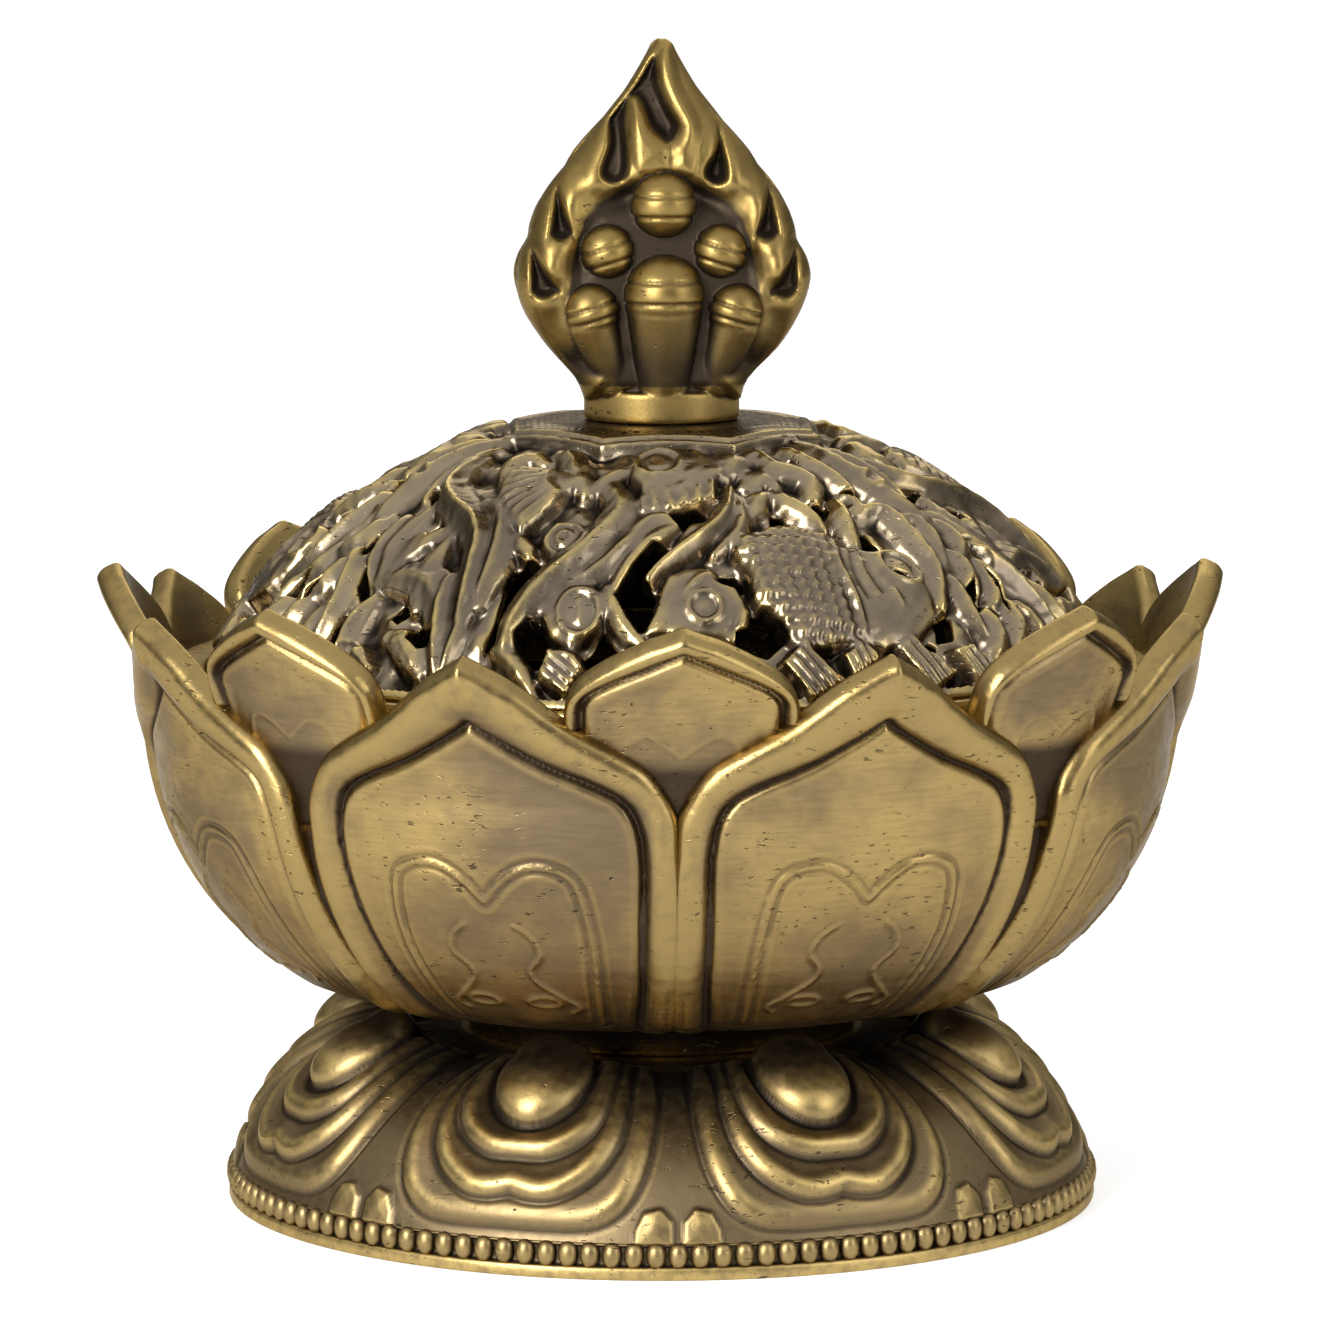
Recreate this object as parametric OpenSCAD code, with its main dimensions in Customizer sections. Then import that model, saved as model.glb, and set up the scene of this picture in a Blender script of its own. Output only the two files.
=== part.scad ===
// Lotus incense burner: a die-cast bowl of sixteen petals on a petalled pedestal,
// closed by a pierced dome with a flame finial. Millimetres, +Z up, the pedestal
// stands on z = 0 and the front of the burner faces -Y.

/* [Bowl and petals] */
// Number of outer petals, and of inner ones
petal_count = 8; // [8]
// Radius that the petal tips reach
petal_reach = 49.5; // [48:0.25:51]
// Height of the inner petal tips
inner_tip_z = 56.2; // [55:0.2:58]
// Height of the outer petal tips
outer_tip_z = 52.9; // [51:0.2:54]
// How far the rolled rim stands out of a petal
rim_proud = 0.8; // [0.4:0.1:1.2]

/* [Pedestal] */
// Radius of the beaded rim
foot_r = 38.9; // [37:0.1:41]
// Number of beads round the rim
bead_count = 128; // [64:16:160]
// Height of the pedestal's crown
crown_z = 15; // [14.5:0.1:15.5]
// Wall of the pedestal shell
foot_wall = 2.4; // [2:0.1:3]

/* [Lid] */
// Radius of the dome's sphere
dome_r = 46.5; // [46:0.1:47.5]
// Wall of the dome
dome_wall = 2; // [1.6:0.1:2.4]
// Height of the flat on top of the dome
lid_top_z = 69.1; // [68.8:0.1:69.6]

/* [Finial] */
// Height of the flame's tip above the table
finial_tip_z = 102.5; // [100:0.5:106]
// Radius of the finial's collar
collar_r = 6.9; // [6.5:0.1:7.5]
// Width of the flame
flame_w = 26.4; // [25:0.2:28]

/* [Inside] */
// Radius of the heat mat
mat_r = 16.5; // [15:0.5:17]
// Thickness of the heat mat
mat_t = 3; // [2:0.5:4]
// Radius of the incense holder's plate
plate_r = 13; // [11:0.5:15]
// Radius of the incense stick that the socket takes
stick_hole_r = 1.3; // [1:0.1:1.6]

/* [Hidden] */
$fn = 96;

brass = "#8f7440";
old_bronze = "#6f6252";
bright_brass = "#c9a24a";
steel = "#b8b8b4";
fibre = "#d9d4c6";

pitch = 360 / petal_count;      // angle from petal to petal
arc_steps = 6;                  // straight stretches in a profile arc

// Bowl core: its belly is an arc about this centre in the radius-height plane
belly_c = [18.8, 43.5];
belly_r = 26.2;                 // outer face of the outer petals
outer_belly = belly_c[0] + belly_r;
inner_belly = 43.6;             // radius of the inner petals at the belly's widest height
petal_axis = 18;                // a petal curves about an axis this far out
petal_root = 12;                // radius where a petal starts, inside the bowl's core
rim_inset = 0.985;              // the rolled rim stays this much inside the petal's outline
outer_panel = [0.84, 33];       // panel inside the rim: its scale, and the height it shrinks about
inner_panel = [0.8, 45];
core_outer_r = 24.7;            // outer face of the core wall
core_inner_r = 20.6;            // inner face of the core wall
core_inner_c = [17.4, 43.5];
core_top_z = 47.6;
seat_z = 45.5;                  // ledge that carries the lid
mouth_r = core_inner_c[0] + core_inner_r;   // 38, the opening under the ledge
rebate_r = 40;                  // recess round the lid's flange
floor_z = core_inner_c[1] - core_inner_r;   // 22.9, the floor inside the bowl
neck_r = 17.6;
boss_r = 7;
lid_gap = 0.4;                  // radial clearance of the lid in the bowl

// Lid
dome_c = 23.9;                  // height of the sphere's centre
flange_r = rebate_r - lid_gap;
flange_top_z = 48.2;
spigot_r = mouth_r - lid_gap;
spigot_wall = 1.8;
spigot_z = 42.8;
lid_boss_r = 6;
lid_boss_z = 65.4;
top_band_z = 67.6;              // eight-sided raised band round the finial
top_band_r = [15.4, 14.2];      // its outer corners, at the bottom and at the top
top_band_bore_r = 12.8;
top_band_h = 1.1;

// Fasteners
stem_screw_r = 2.5;
stem_screw_top = 23.4;
stem_head_r = 4.4;
stem_head_h = 2.8;
stem_washer_r = 6;
washer_t = 1;
finial_screw_r = 2;
finial_screw_top = 77;
finial_head_r = 3.6;
finial_head_h = 2.2;
finial_washer_r = 4.6;
finial_washer_t = 0.8;
finial_seat_z = lid_boss_z - finial_washer_t;   // underside of the lid's washer
thread_gap = 0.05;

// Pedestal: its dome is an arc about this centre
foot_c = [22, -2];
foot_arc_r = 16.8;
band_h = 1.1;                   // plain band under the beads
bead_r = 0.85;
bead_z = 0.9;                   // the beads rise out of the band
bead_top_z = 2.8;
crown_edge_r = 19.4;            // flat crown inside the dome
crown_bore_r = 3;
// Stepped petals of the pedestal: radius of the tip, half width, height above the dome
lobe_layers = [[37.6, 12.2, 0.5], [35.4, 9.6, 1.1], [32.6, 7, 1.6]];
lobe_root = 20;
knob_at = 24.8;                 // round knob on each of them
knob_z = 11.6;
knob_r = 4.6;

stem_under_z = crown_z - 3;      // underside of the crown plate

// Finial
collar_h = 2.9;
flame_base_z = lid_top_z + collar_h;
flame_depth = 17;

// Loose pieces inside the bowl, standing on the screw's boss
boss_h = 2;
mat_z = floor_z + boss_h;
plate_z = mat_z + mat_t;
plate_t = 1;
prong_at = 8.5;
prong_r = 0.6;
prong_h = 5;
socket_foot_r = 2.2;            // stub of the socket in the plate's hole
socket_collar_r = 3.2;          // collar that rests on the plate
socket_r = 2.5;
socket_h = 9;

// Points of an arc, from angle a to angle b, in the radius-height plane
function arc(c, r, a, b, n = arc_steps) =
    [for (i = [0 : n]) c + r * [cos(a + (b - a) * i / n), sin(a + (b - a) * i / n)]];
function reversed(list) = [for (i = [len(list) - 1 : -1 : 0]) list[i]];
function scaled_about(list, c, k) = [for (p = list) c + k * (p - c)];
function mirrored(list) = concat(list, [for (p = reversed(list)) if (p[0] > 0) [-p[0], p[1]]]);
// Angle at which an arc about c of radius r reaches height z
function arc_angle(c, r, z) = asin((z - c[1]) / r);

// ---- bowl and petals ----

// Half outlines as seen from outside: distance sideways, height. They start at the tip
// and end in a point under the bowl.
outer_outline = [[0, outer_tip_z], [7.4, outer_tip_z - 3.8], [15, outer_tip_z - 8.2],
                 [17, outer_tip_z - 13], [16.4, 30], [12.4, 22.4], [0, 15.9]];
inner_outline = [[0, inner_tip_z], [6.2, inner_tip_z - 3.2], [10.8, inner_tip_z - 7],
                 [10.6, 43], [7.4, 34], [0, 31]];

// A prism along +X with the outline, mirrored to both sides
module outline_prism(outline, from_x) {
    translate([from_x, 0, 0])
        rotate([90, 0, 90])
            linear_extrude(height = 60 - from_x)
                polygon(mirrored(outline));
}

// A solid cup on its own axis: a ball under the belly line, and above it a flared wall
// that passes through the tip
module petal_cup(belly_x, tip_x, tip_z) {
    r = belly_x - petal_axis;
    past = 1 + 1.5 / (tip_z - belly_c[1]);
    wall_top = [r + (tip_x - belly_x) * past, (tip_z - belly_c[1]) * past];
    translate([petal_axis, 0, belly_c[1]])
        rotate_extrude() {
            intersection() {
                circle(r = r);
                translate([0, -r])
                    square([r, r]);
            }
            polygon([[0, 0], [r, 0], wall_top, [0, wall_top[1]]]);
        }
}

// A petal of the bowl, curved more tightly than the bowl itself, and its rolled rim
module petal(outline, belly_x, tip_x, tip_z, panel) {
    centre = [0, panel[1]];
    intersection() {
        petal_cup(belly_x, tip_x - rim_proud, tip_z);
        outline_prism(outline, petal_root);
    }
    intersection() {
        petal_cup(belly_x + rim_proud, tip_x, tip_z);
        difference() {
            outline_prism(scaled_about(outline, centre, rim_inset), petal_root + 1);
            outline_prism(scaled_about(outline, centre, panel[0]), petal_root - 1);
        }
    }
}

module bowl() {
    color(brass)
    difference() {
        union() {
            rotate_extrude()
                polygon(concat([[0, 17.4], [belly_c[0], 18.8]], arc(belly_c, core_outer_r, -84, 0),
                               [[belly_c[0] + core_outer_r, core_top_z], [0, core_top_z]]));
            // neck that stands on the pedestal's crown
            cylinder_between(neck_r, crown_z, 20.5);
            for (i = [0 : petal_count - 1]) {
                rotate([0, 0, pitch * (i + 0.5) - 90])
                    petal(outer_outline, outer_belly, petal_reach - 0.5, outer_tip_z, outer_panel);
                rotate([0, 0, pitch * i - 90])
                    petal(inner_outline, inner_belly, petal_reach, inner_tip_z, inner_panel);
            }
        }
        bowl_hollow();
        cylinder_between(stem_screw_r + thread_gap, crown_z - 1, stem_screw_top + 0.2);
    }
}

// The bowl's inside: floor with the screw's boss, wall, the lid's recess and the mouth
// that the petals flare round
module bowl_hollow() {
    rotate_extrude()
        polygon(concat([[boss_r, floor_z]], reversed(arc(core_inner_c, core_inner_r, 0, -90)),
                       [[mouth_r, seat_z], [rebate_r, seat_z], [rebate_r, core_top_z - 0.6],
                        [46.4, 60], [0, 60], [0, mat_z], [boss_r, mat_z]]));
}

module cylinder_between(r, z0, z1) {
    translate([0, 0, z0])
        cylinder(r = r, h = z1 - z0);
}

// ---- pedestal ----

// Half outline of a pedestal petal seen from above: radius outward, distance sideways
function lobe(tip, half, root) =
    [[root, half * 0.62], [root + (tip - root) * 0.45, half * 0.97],
     [root + (tip - root) * 0.72, half], [root + (tip - root) * 0.9, half * 0.8],
     [tip, half * 0.38]];

module lobe_layer(tip, half, raise) {
    side = lobe(tip, half, lobe_root);
    intersection() {
        rotate_extrude()
            polygon(concat([[16, 2.2]],
                           arc(foot_c, foot_arc_r + raise, 12, 90), [[16, crown_z - 0.2]]));
        linear_extrude(height = 20)
            polygon(concat(side, [for (p = reversed(side)) [p[0], -p[1]]]));
    }
}

module foot_shell() {
    outer = arc(foot_c, foot_arc_r, arc_angle(foot_c, foot_arc_r, 3), 90);
    inner = arc(foot_c, foot_arc_r - foot_wall, 90, arc_angle(foot_c, foot_arc_r - foot_wall, 0));
    rotate_extrude()
        polygon(concat([[foot_r - 0.4, 0], [foot_r - 0.3, band_h], [foot_r - 0.9, band_h + 0.1],
                        [foot_r - 0.9, 3]],
                       outer, [[crown_edge_r, crown_z], [crown_bore_r, crown_z],
                               [crown_bore_r, stem_under_z], [crown_edge_r, stem_under_z]],
                       inner));
}

module pedestal() {
    color(brass)
    difference() {
        union() {
            foot_shell();
            // crown plate under the bowl's neck
            cylinder_between(lobe_root, stem_under_z, crown_z);
            for (i = [0 : petal_count - 1])
                rotate([0, 0, pitch * (i + 0.5) - 90]) {
                    for (layer = lobe_layers)
                        lobe_layer(layer[0], layer[1], layer[2]);
                    translate([knob_at, 0, knob_z])
                        sphere(r = knob_r);
                }
            // beaded rim
            for (i = [0 : bead_count - 1])
                rotate([0, 0, 360 / bead_count * i])
                    translate([foot_r - bead_r, 0, bead_z])
                        cylinder(r = bead_r, h = bead_top_z - bead_z);
        }
        // the screw's clearance hole, and the hollow under the shell
        cylinder_between(stem_screw_r + 0.3, crown_z - 4, crown_z + 1);
        foot_hollow();
    }
}

module foot_hollow() {
    inner = arc(foot_c, foot_arc_r - foot_wall, arc_angle(foot_c, foot_arc_r - foot_wall, 0), 90);
    rotate_extrude()
        polygon(concat([[0, -1], [inner[0][0], -1]], inner, [[0, stem_under_z]]));
}

// ---- fasteners ----

// Slotted pan-head screw pointing up: z0 is the underside of its head
module pan_screw(shank_r, z_head, head_r, head_h, tip_z) {
    difference() {
        union() {
            rotate_extrude()
                polygon([[0, z_head - head_h], [head_r * 0.7, z_head - head_h],
                         [head_r, z_head - head_h * 0.6], [head_r, z_head], [0, z_head]]);
            cylinder_between(shank_r, z_head - 0.1, tip_z);
        }
        translate([-head_r, -0.5, z_head - head_h - 0.1])
            cube([head_r * 2, 1, 1.1]);
    }
}

module flat_washer(bore_r, outer_r, z0, t) {
    translate([0, 0, z0])
        difference() {
            cylinder(r = outer_r, h = t);
            translate([0, 0, -1])
                cylinder(r = bore_r, h = t + 2);
        }
}

module stem_washer() {
    color(steel)
        flat_washer(stem_screw_r + 0.2, stem_washer_r, stem_under_z - washer_t, washer_t);
}
module stem_screw() {
    color(steel)
        pan_screw(stem_screw_r, stem_under_z - washer_t, stem_head_r, stem_head_h, stem_screw_top);
}
module finial_washer() {
    color(steel)
        flat_washer(finial_screw_r + 0.2, finial_washer_r, finial_seat_z, finial_washer_t);
}
module finial_screw() {
    color(steel)
        pan_screw(finial_screw_r, finial_seat_z, finial_head_r, finial_head_h, finial_screw_top);
}

// ---- lid ----

// Rings of piercings: polar angle from the top, how many, size, sides
piercings = [[24, 8, 2, 4], [33.5, 12, 2.3, 3], [43, 16, 2.4, 4], [51, 20, 1.7, 3]];

module lid() {
    dome_start = arc_angle([0, dome_c], dome_r, flange_top_z + 0.8);
    inner_r = dome_r - dome_wall;
    color(old_bronze)
    difference() {
        union() {
            rotate_extrude()
                polygon(concat(
                    [[spigot_r, spigot_z], [spigot_r, seat_z], [flange_r, seat_z],
                     [flange_r, flange_top_z]],
                    [for (p = arc([0, dome_c], dome_r, dome_start, 90, 14)) [p[0], min(p[1], lid_top_z)]],
                    [[0, lid_boss_z]],
                    [for (p = arc([0, dome_c], inner_r, 90, 34, 12)) if (p[1] < lid_boss_z + 1.5) p],
                    [[spigot_r - spigot_wall, seat_z], [spigot_r - spigot_wall, spigot_z]]));
            cylinder_between(lid_boss_r, lid_boss_z, lid_top_z - 0.5);
            // eight-sided raised band round the finial
            rotate([0, 0, 22.5])
                difference() {
                    translate([0, 0, top_band_z])
                        cylinder(r1 = top_band_r[0], r2 = top_band_r[1], h = top_band_h, $fn = 8);
                    translate([0, 0, top_band_z - 5])
                        cylinder(r = top_band_bore_r, h = 10, $fn = 8);
                }
        }
        for (ring = piercings, i = [0 : ring[1] - 1])
            rotate([0, 0, 360 / ring[1] * (i + 0.5)])
                translate([0, 0, dome_c])
                    rotate([0, ring[0], 0])
                        translate([0, 0, dome_r - 5])
                            rotate([0, 0, 45])
                                cylinder(r = ring[2], h = 10, $fn = ring[3]);
        cylinder_between(finial_screw_r + 0.3, lid_boss_z - 2, lid_top_z + 1);
    }
}

// ---- finial ----

// Half outline of the flame seen from the front, with its tongues
flame_half = [[6.6, flame_base_z], [9.4, flame_base_z + 3], [12, flame_base_z + 6.2],
              [flame_w / 2, flame_base_z + 9.2], [flame_w / 2 - 0.2, flame_base_z + 11.2],
              [12.2, flame_base_z + 14.4], [11.4, flame_base_z + 15.2],
              [10.6, flame_base_z + 18], [8.4, flame_base_z + 20.6], [7.2, flame_base_z + 22.6],
              [4.2, flame_base_z + 26], [2.2, flame_base_z + 28.6], [0.7, finial_tip_z - 0.5],
              [0, finial_tip_z]];

module flame_body() {
    intersection() {
        rotate([90, 0, 0])
            linear_extrude(height = flame_depth, center = true)
                polygon(mirrored(flame_half));
        rotate_extrude()
            polygon(concat([[0, flame_base_z]], flame_half));
        // the faces lean in towards the tip
        rotate([90, 0, 90])
            linear_extrude(height = 40, center = true)
                polygon([[-6.5, flame_base_z], [6.5, flame_base_z], [flame_depth / 2, flame_base_z + 8],
                         [7, flame_base_z + 14], [1.2, finial_tip_z], [-1.2, finial_tip_z],
                         [-7, flame_base_z + 14], [-flame_depth / 2, flame_base_z + 8]]);
    }
}

// Jewel vase: a cone with a ball on top, leaning outwards from the collar
module jewel_vase(lean, ball_r, height) {
    translate([0, -4.6, flame_base_z - 0.2])
        rotate([8, lean, 0]) {
            cylinder(r1 = ball_r * 0.72, r2 = ball_r * 0.98, h = height);
            translate([0, 0, height])
                sphere(r = ball_r);
        }
}

module finial_face() {
    jewel_vase(0, 3, 8);
    jewel_vase(-26, 2.4, 7.6);
    jewel_vase(26, 2.4, 7.6);
    for (side = [-1, 1])
        translate([side * 4.9, -6.6, flame_base_z + 12.6])
            sphere(r = 2.4);
    translate([0, -5.8, flame_base_z + 16.4])
        sphere(r = 2.8);
}

module finial() {
    color(bright_brass)
    difference() {
        union() {
            rotate_extrude()
                polygon([[0, lid_top_z], [collar_r - 0.5, lid_top_z], [collar_r, lid_top_z + 0.6],
                         [collar_r, lid_top_z + 2.3], [collar_r - 0.4, flame_base_z + 0.2],
                         [0, flame_base_z + 0.2]]);
            flame_body();
            finial_face();
            rotate([0, 0, 180])
                finial_face();
        }
        translate([0, 0, lid_top_z - 1])
            cylinder(r = finial_screw_r + thread_gap, h = finial_screw_top - lid_top_z + 2);
    }
}

// ---- inside the bowl ----

module heat_mat() {
    color(fibre)
        rotate_extrude()
            polygon([[0, mat_z], [mat_r - 0.5, mat_z], [mat_r, mat_z + 0.5],
                     [mat_r, mat_z + mat_t - 0.5], [mat_r - 0.5, mat_z + mat_t], [0, mat_z + mat_t]]);
}

module holder_plate() {
    color(bright_brass)
    difference() {
        rotate_extrude()
            polygon([[socket_foot_r, plate_z], [plate_r, plate_z], [plate_r + 0.6, plate_z + 1.6],
                     [plate_r, plate_z + 1.8], [plate_r - 0.7, plate_z + plate_t],
                     [socket_foot_r, plate_z + plate_t]]);
        for (i = [0 : 2])
            rotate([0, 0, 120 * i])
                translate([prong_at, 0, plate_z - 1])
                    cylinder(r = prong_r, h = 3);
    }
}

module coil_prongs() {
    color(bright_brass)
        for (i = [0 : 2])
            rotate([0, 0, 120 * i])
                translate([prong_at, 0, plate_z]) {
                    cylinder(r = prong_r, h = prong_h);
                    translate([0, 0, prong_h])
                        cylinder(r1 = prong_r, r2 = 0.12, h = 1.2);
                }
}

module stick_socket() {
    color(bright_brass)
        difference() {
            rotate_extrude()
                polygon([[0, plate_z], [socket_foot_r, plate_z], [socket_foot_r, plate_z + plate_t],
                         [socket_collar_r, plate_z + plate_t], [socket_collar_r, plate_z + 2],
                         [socket_r, plate_z + 2.8], [socket_r, plate_z + socket_h - 0.4],
                         [socket_r - 0.4, plate_z + socket_h], [0, plate_z + socket_h]]);
            translate([0, 0, plate_z + 1])
                cylinder(r = stick_hole_r, h = socket_h);
        }
}

pedestal();
bowl();
stem_screw();
stem_washer();
lid();
finial();
finial_screw();
finial_washer();
heat_mat();
holder_plate();
stick_socket();
coil_prongs();
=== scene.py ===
"""Looks of the lotus incense burner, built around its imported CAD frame.

Every cast surface is carved: a height drawing in millimetres on a flat petal, dome or flame is
turned into a closed mesh and bent onto its curved form. One function per sub-part or material.
"""

import math

import bpy
import numpy as np
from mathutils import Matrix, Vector


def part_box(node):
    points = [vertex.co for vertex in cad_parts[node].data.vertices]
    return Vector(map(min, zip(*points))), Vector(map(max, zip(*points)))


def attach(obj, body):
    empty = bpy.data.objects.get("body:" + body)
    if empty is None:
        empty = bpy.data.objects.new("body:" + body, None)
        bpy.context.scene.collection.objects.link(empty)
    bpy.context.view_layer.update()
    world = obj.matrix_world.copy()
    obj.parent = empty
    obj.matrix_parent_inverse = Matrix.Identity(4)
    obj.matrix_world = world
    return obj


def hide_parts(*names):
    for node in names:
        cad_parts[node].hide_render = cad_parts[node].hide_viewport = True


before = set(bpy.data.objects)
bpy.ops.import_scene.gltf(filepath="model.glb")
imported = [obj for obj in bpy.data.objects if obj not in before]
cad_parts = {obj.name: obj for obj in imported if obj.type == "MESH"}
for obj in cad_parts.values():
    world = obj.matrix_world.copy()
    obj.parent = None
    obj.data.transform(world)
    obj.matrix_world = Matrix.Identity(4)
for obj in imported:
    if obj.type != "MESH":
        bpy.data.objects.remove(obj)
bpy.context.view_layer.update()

MM = 0.001
PETALS = 8
SECTOR = 2 * math.pi / PETALS
FRONT = -math.pi / 2

# Bowl: belly arc in the radius-height plane, and how far petals curve more tightly than the bowl
BELLY_CENTRE = (18.8, 43.5)
BELLY_R = 26.2
PETAL_TIGHTNESS = 0.12
PETAL_T = 1.7

# Dome of the lid
DOME_R = 46.5
DOME_Z = 23.9
DOME_WALL = 2.2
DOME_EDGE = 47.3
CROWN_TOP = 69.1
CROWN_REACH = 14.2
NO_HOLE = 9.0

# Pedestal: profile arc in the radius-height plane
FOOT_CENTRE = (22, -2)
FOOT_R = 16.8

# Rounds of smoothing that a surface's broad relief is measured against
PETAL_BLUR = 240
DOME_BLUR = 70
FLAME_BLUR = 90
FOOT_BLUR = 60
PEARL_BLUR = 200


# ---------------------------------------------------------------- drawing in the plane


def polyline_distance(x, y, points):
    """Distance from each (x, y) to an open line, and how far along the line it is, from 0 to 1."""
    points = np.array(points, float)
    lengths = np.hypot(*np.diff(points, axis=0).T)
    starts = np.concatenate([[0], np.cumsum(lengths)])
    best = np.full(x.shape, 1e9)
    along = np.zeros(x.shape)
    for i in np.flatnonzero(lengths > 1e-9):
        (ax, ay), (bx, by), length = points[i], points[i + 1], lengths[i]
        t = np.clip(((x - ax) * (bx - ax) + (y - ay) * (by - ay)) / length**2, 0, 1)
        d = np.hypot(x - ax - t * (bx - ax), y - ay - t * (by - ay))
        near = d < best
        best = np.where(near, d, best)
        along = np.where(near, (starts[i] + t * length) / starts[-1], along)
    return best, along


def outline_distance(x, y, points):
    """Distance to a closed outline, negative inside it."""
    closed = [*points, points[0]]
    distance, _ = polyline_distance(x, y, closed)
    inside = np.zeros(x.shape, bool)
    for (ax, ay), (bx, by) in zip(closed, closed[1:]):
        if ay != by:
            inside ^= ((ay > y) != (by > y)) & (x < (bx - ax) * (y - ay) / (by - ay) + ax)
    return np.where(inside, -distance, distance)


def curve(points, steps=5):
    """A smooth line through the points."""
    p = np.array([points[0], *points, points[-1]], float)
    out = []
    for a, b, c, d in zip(p, p[1:], p[2:], p[3:]):
        for t in np.arange(steps) / steps:
            bend = (2 * a - 5 * b + 4 * c - d) * t**2 + (3 * b - a - 3 * c + d) * t**3
            out.append(0.5 * (2 * b + (c - a) * t + bend))
    return [tuple(q) for q in (*out, p[-1])]


def mirrored(half):
    """A closed outline from its right half, which starts at the tip."""
    return [*half, *[(-x, y) for x, y in reversed(half) if x > 0]]


def bell(d, width):
    return np.exp(-((d / width) ** 2))


def smooth_step(x, low, high):
    t = np.clip((x - low) / (high - low), 0, 1)
    return t * t * (3 - 2 * t)


def smooth_max(a, b, radius):
    """The larger of two fields, with their edge rounded by radius."""
    h = np.clip(0.5 + (a - b) / (2 * radius), 0, 1)
    return b + (a - b) * h + radius * h * (1 - h)


def waves(x, y, size, seed):
    """A smooth uneven surface between about -1 and 1, with bumps of about that size."""
    rng = np.random.default_rng(seed)
    total = np.zeros(x.shape)
    for angle, phase, stretch in rng.random((7, 3)):
        k = 2 * math.pi / (size * (0.6 + stretch))
        turn = 2 * math.pi * angle
        total += np.sin(k * (x * math.cos(turn) + y * math.sin(turn)) + 6.3 * phase)
    return total / 4


# ---------------------------------------------------------------- meshes


def carve(field, low, high, step):
    """Closed mesh round where field(x, y, z) is below zero: vertices and four-sided faces."""
    axes = [np.arange(a, b + step, step) for a, b in zip(low, high)]
    values = field(*np.meshgrid(*axes, indexing="ij"))
    for axis in range(3):
        edge = [slice(None)] * 3
        for end in (0, -1):
            edge[axis] = end
            values[tuple(edge)] = np.maximum(values[tuple(edge)], 0.01)
    shape = np.array(values.shape)
    cells, places = [], []
    for axis in range(3):
        one, two = [slice(None)] * 3, [slice(None)] * 3
        one[axis], two[axis] = slice(0, -1), slice(1, None)
        a, b = values[tuple(one)], values[tuple(two)]
        index = np.stack(np.nonzero((a < 0) != (b < 0)), 1)
        va, vb = a[tuple(index.T)], b[tuple(index.T)]
        place = index.astype(float)
        place[:, axis] += va / (va - vb)
        corners = []
        for du, dw in ((0, 0), (-1, 0), (-1, -1), (0, -1)):
            cell = index.copy()
            cell[:, (axis + 1) % 3] += du
            cell[:, (axis + 2) % 3] += dw
            corners.append(cell @ [shape[1] * shape[2], shape[2], 1])
        face = np.stack(corners, 1)
        face[va > 0] = face[va > 0][:, ::-1]
        cells.append(face)
        places.append(place)
    faces, places = np.concatenate(cells), np.concatenate(places)
    _, inverse = np.unique(faces.ravel(), return_inverse=True)
    faces = inverse.reshape(faces.shape)
    repeated = np.repeat(places, 4, axis=0)
    count = np.bincount(inverse)
    vertices = [np.bincount(inverse, repeated[:, k]) / count for k in range(3)]
    return np.stack(vertices, 1) * step + np.array(low), faces


def lathe(profile, segments=192):
    """A closed solid of revolution from a closed profile of (radius, height) points."""
    profile = np.array(profile, float)
    turn = 2 * math.pi * np.arange(segments) / segments
    r, z = profile[:, 0][:, None], profile[:, 1][:, None]
    rings = np.stack([r * np.cos(turn), r * np.sin(turn), z + 0 * turn], 2)
    return rings.reshape(-1, 3), grid_faces(len(profile), segments)


def grid_faces(rows, columns):
    """Faces of a grid that closes on itself both ways."""
    i, j = np.meshgrid(np.arange(rows), np.arange(columns), indexing="ij")
    up, over = (i + 1) % rows, (j + 1) % columns
    return np.stack([i * columns + j, i * columns + over, up * columns + over, up * columns + j],
                    -1).reshape(-1, 4)


def eased(profile, radius, steps=3):
    """A closed profile with its corners rounded."""
    out = []
    n = len(profile)
    for i in range(n):
        before, at, after = (np.array(profile[k % n], float) for k in (i - 1, i, i + 1))
        a, b = before - at, after - at
        la, lb = np.hypot(*a), np.hypot(*b)
        cut = min(radius, la * 0.45, lb * 0.45)
        start, end = at + a / la * cut, at + b / lb * cut
        for t in np.arange(steps + 1) / steps:
            out.append((1 - t) ** 2 * start + 2 * t * (1 - t) * at + t**2 * end)
    return out


def volume(points, faces):
    a, b, c, d = (points[faces[:, k]] for k in range(4))
    return np.einsum("ij,ij->i", a, np.cross(b, c) + np.cross(c, d)).sum() / 6


def outwards(points, faces):
    """The faces, turned so that they look out of the solid."""
    return faces if volume(points, faces) > 0 else faces[:, ::-1]


def relief_of(points, faces, rounds):
    """How far each vertex stands out of (above 0) or lies in (below 0) its smoothed surroundings."""
    a, b = faces.ravel(), np.roll(faces, -1, axis=1).ravel()
    n = len(points)
    count = np.bincount(a, minlength=n)[:, None]
    smooth = points
    for _ in range(rounds):
        smooth = np.stack([np.bincount(a, smooth[b, k], n) for k in range(3)], 1) / count
    across = np.cross(points[faces[:, 2]] - points[faces[:, 0]], points[faces[:, 3]] - points[faces[:, 1]])
    normal = np.stack([np.bincount(faces.ravel(), np.repeat(across[:, k], 4), n) for k in range(3)], 1)
    normal /= np.linalg.norm(normal, axis=1)[:, None] + 1e-12
    return np.einsum("ij,ij->i", points - smooth, normal)


def solid(points, faces, fine=4, broad=30):
    """A finished solid: its points, its faces, and its fine and broad relief."""
    faces = outwards(points, faces)
    return points, faces, relief_of(points, faces, fine), relief_of(points, faces, broad)


def shade_painted(part, amount):
    """The same solid, counted as lying deeper by amount at each vertex, so that its colour darkens there:
    painted shade.
    """
    return *part[:3], part[3] - amount


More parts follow.
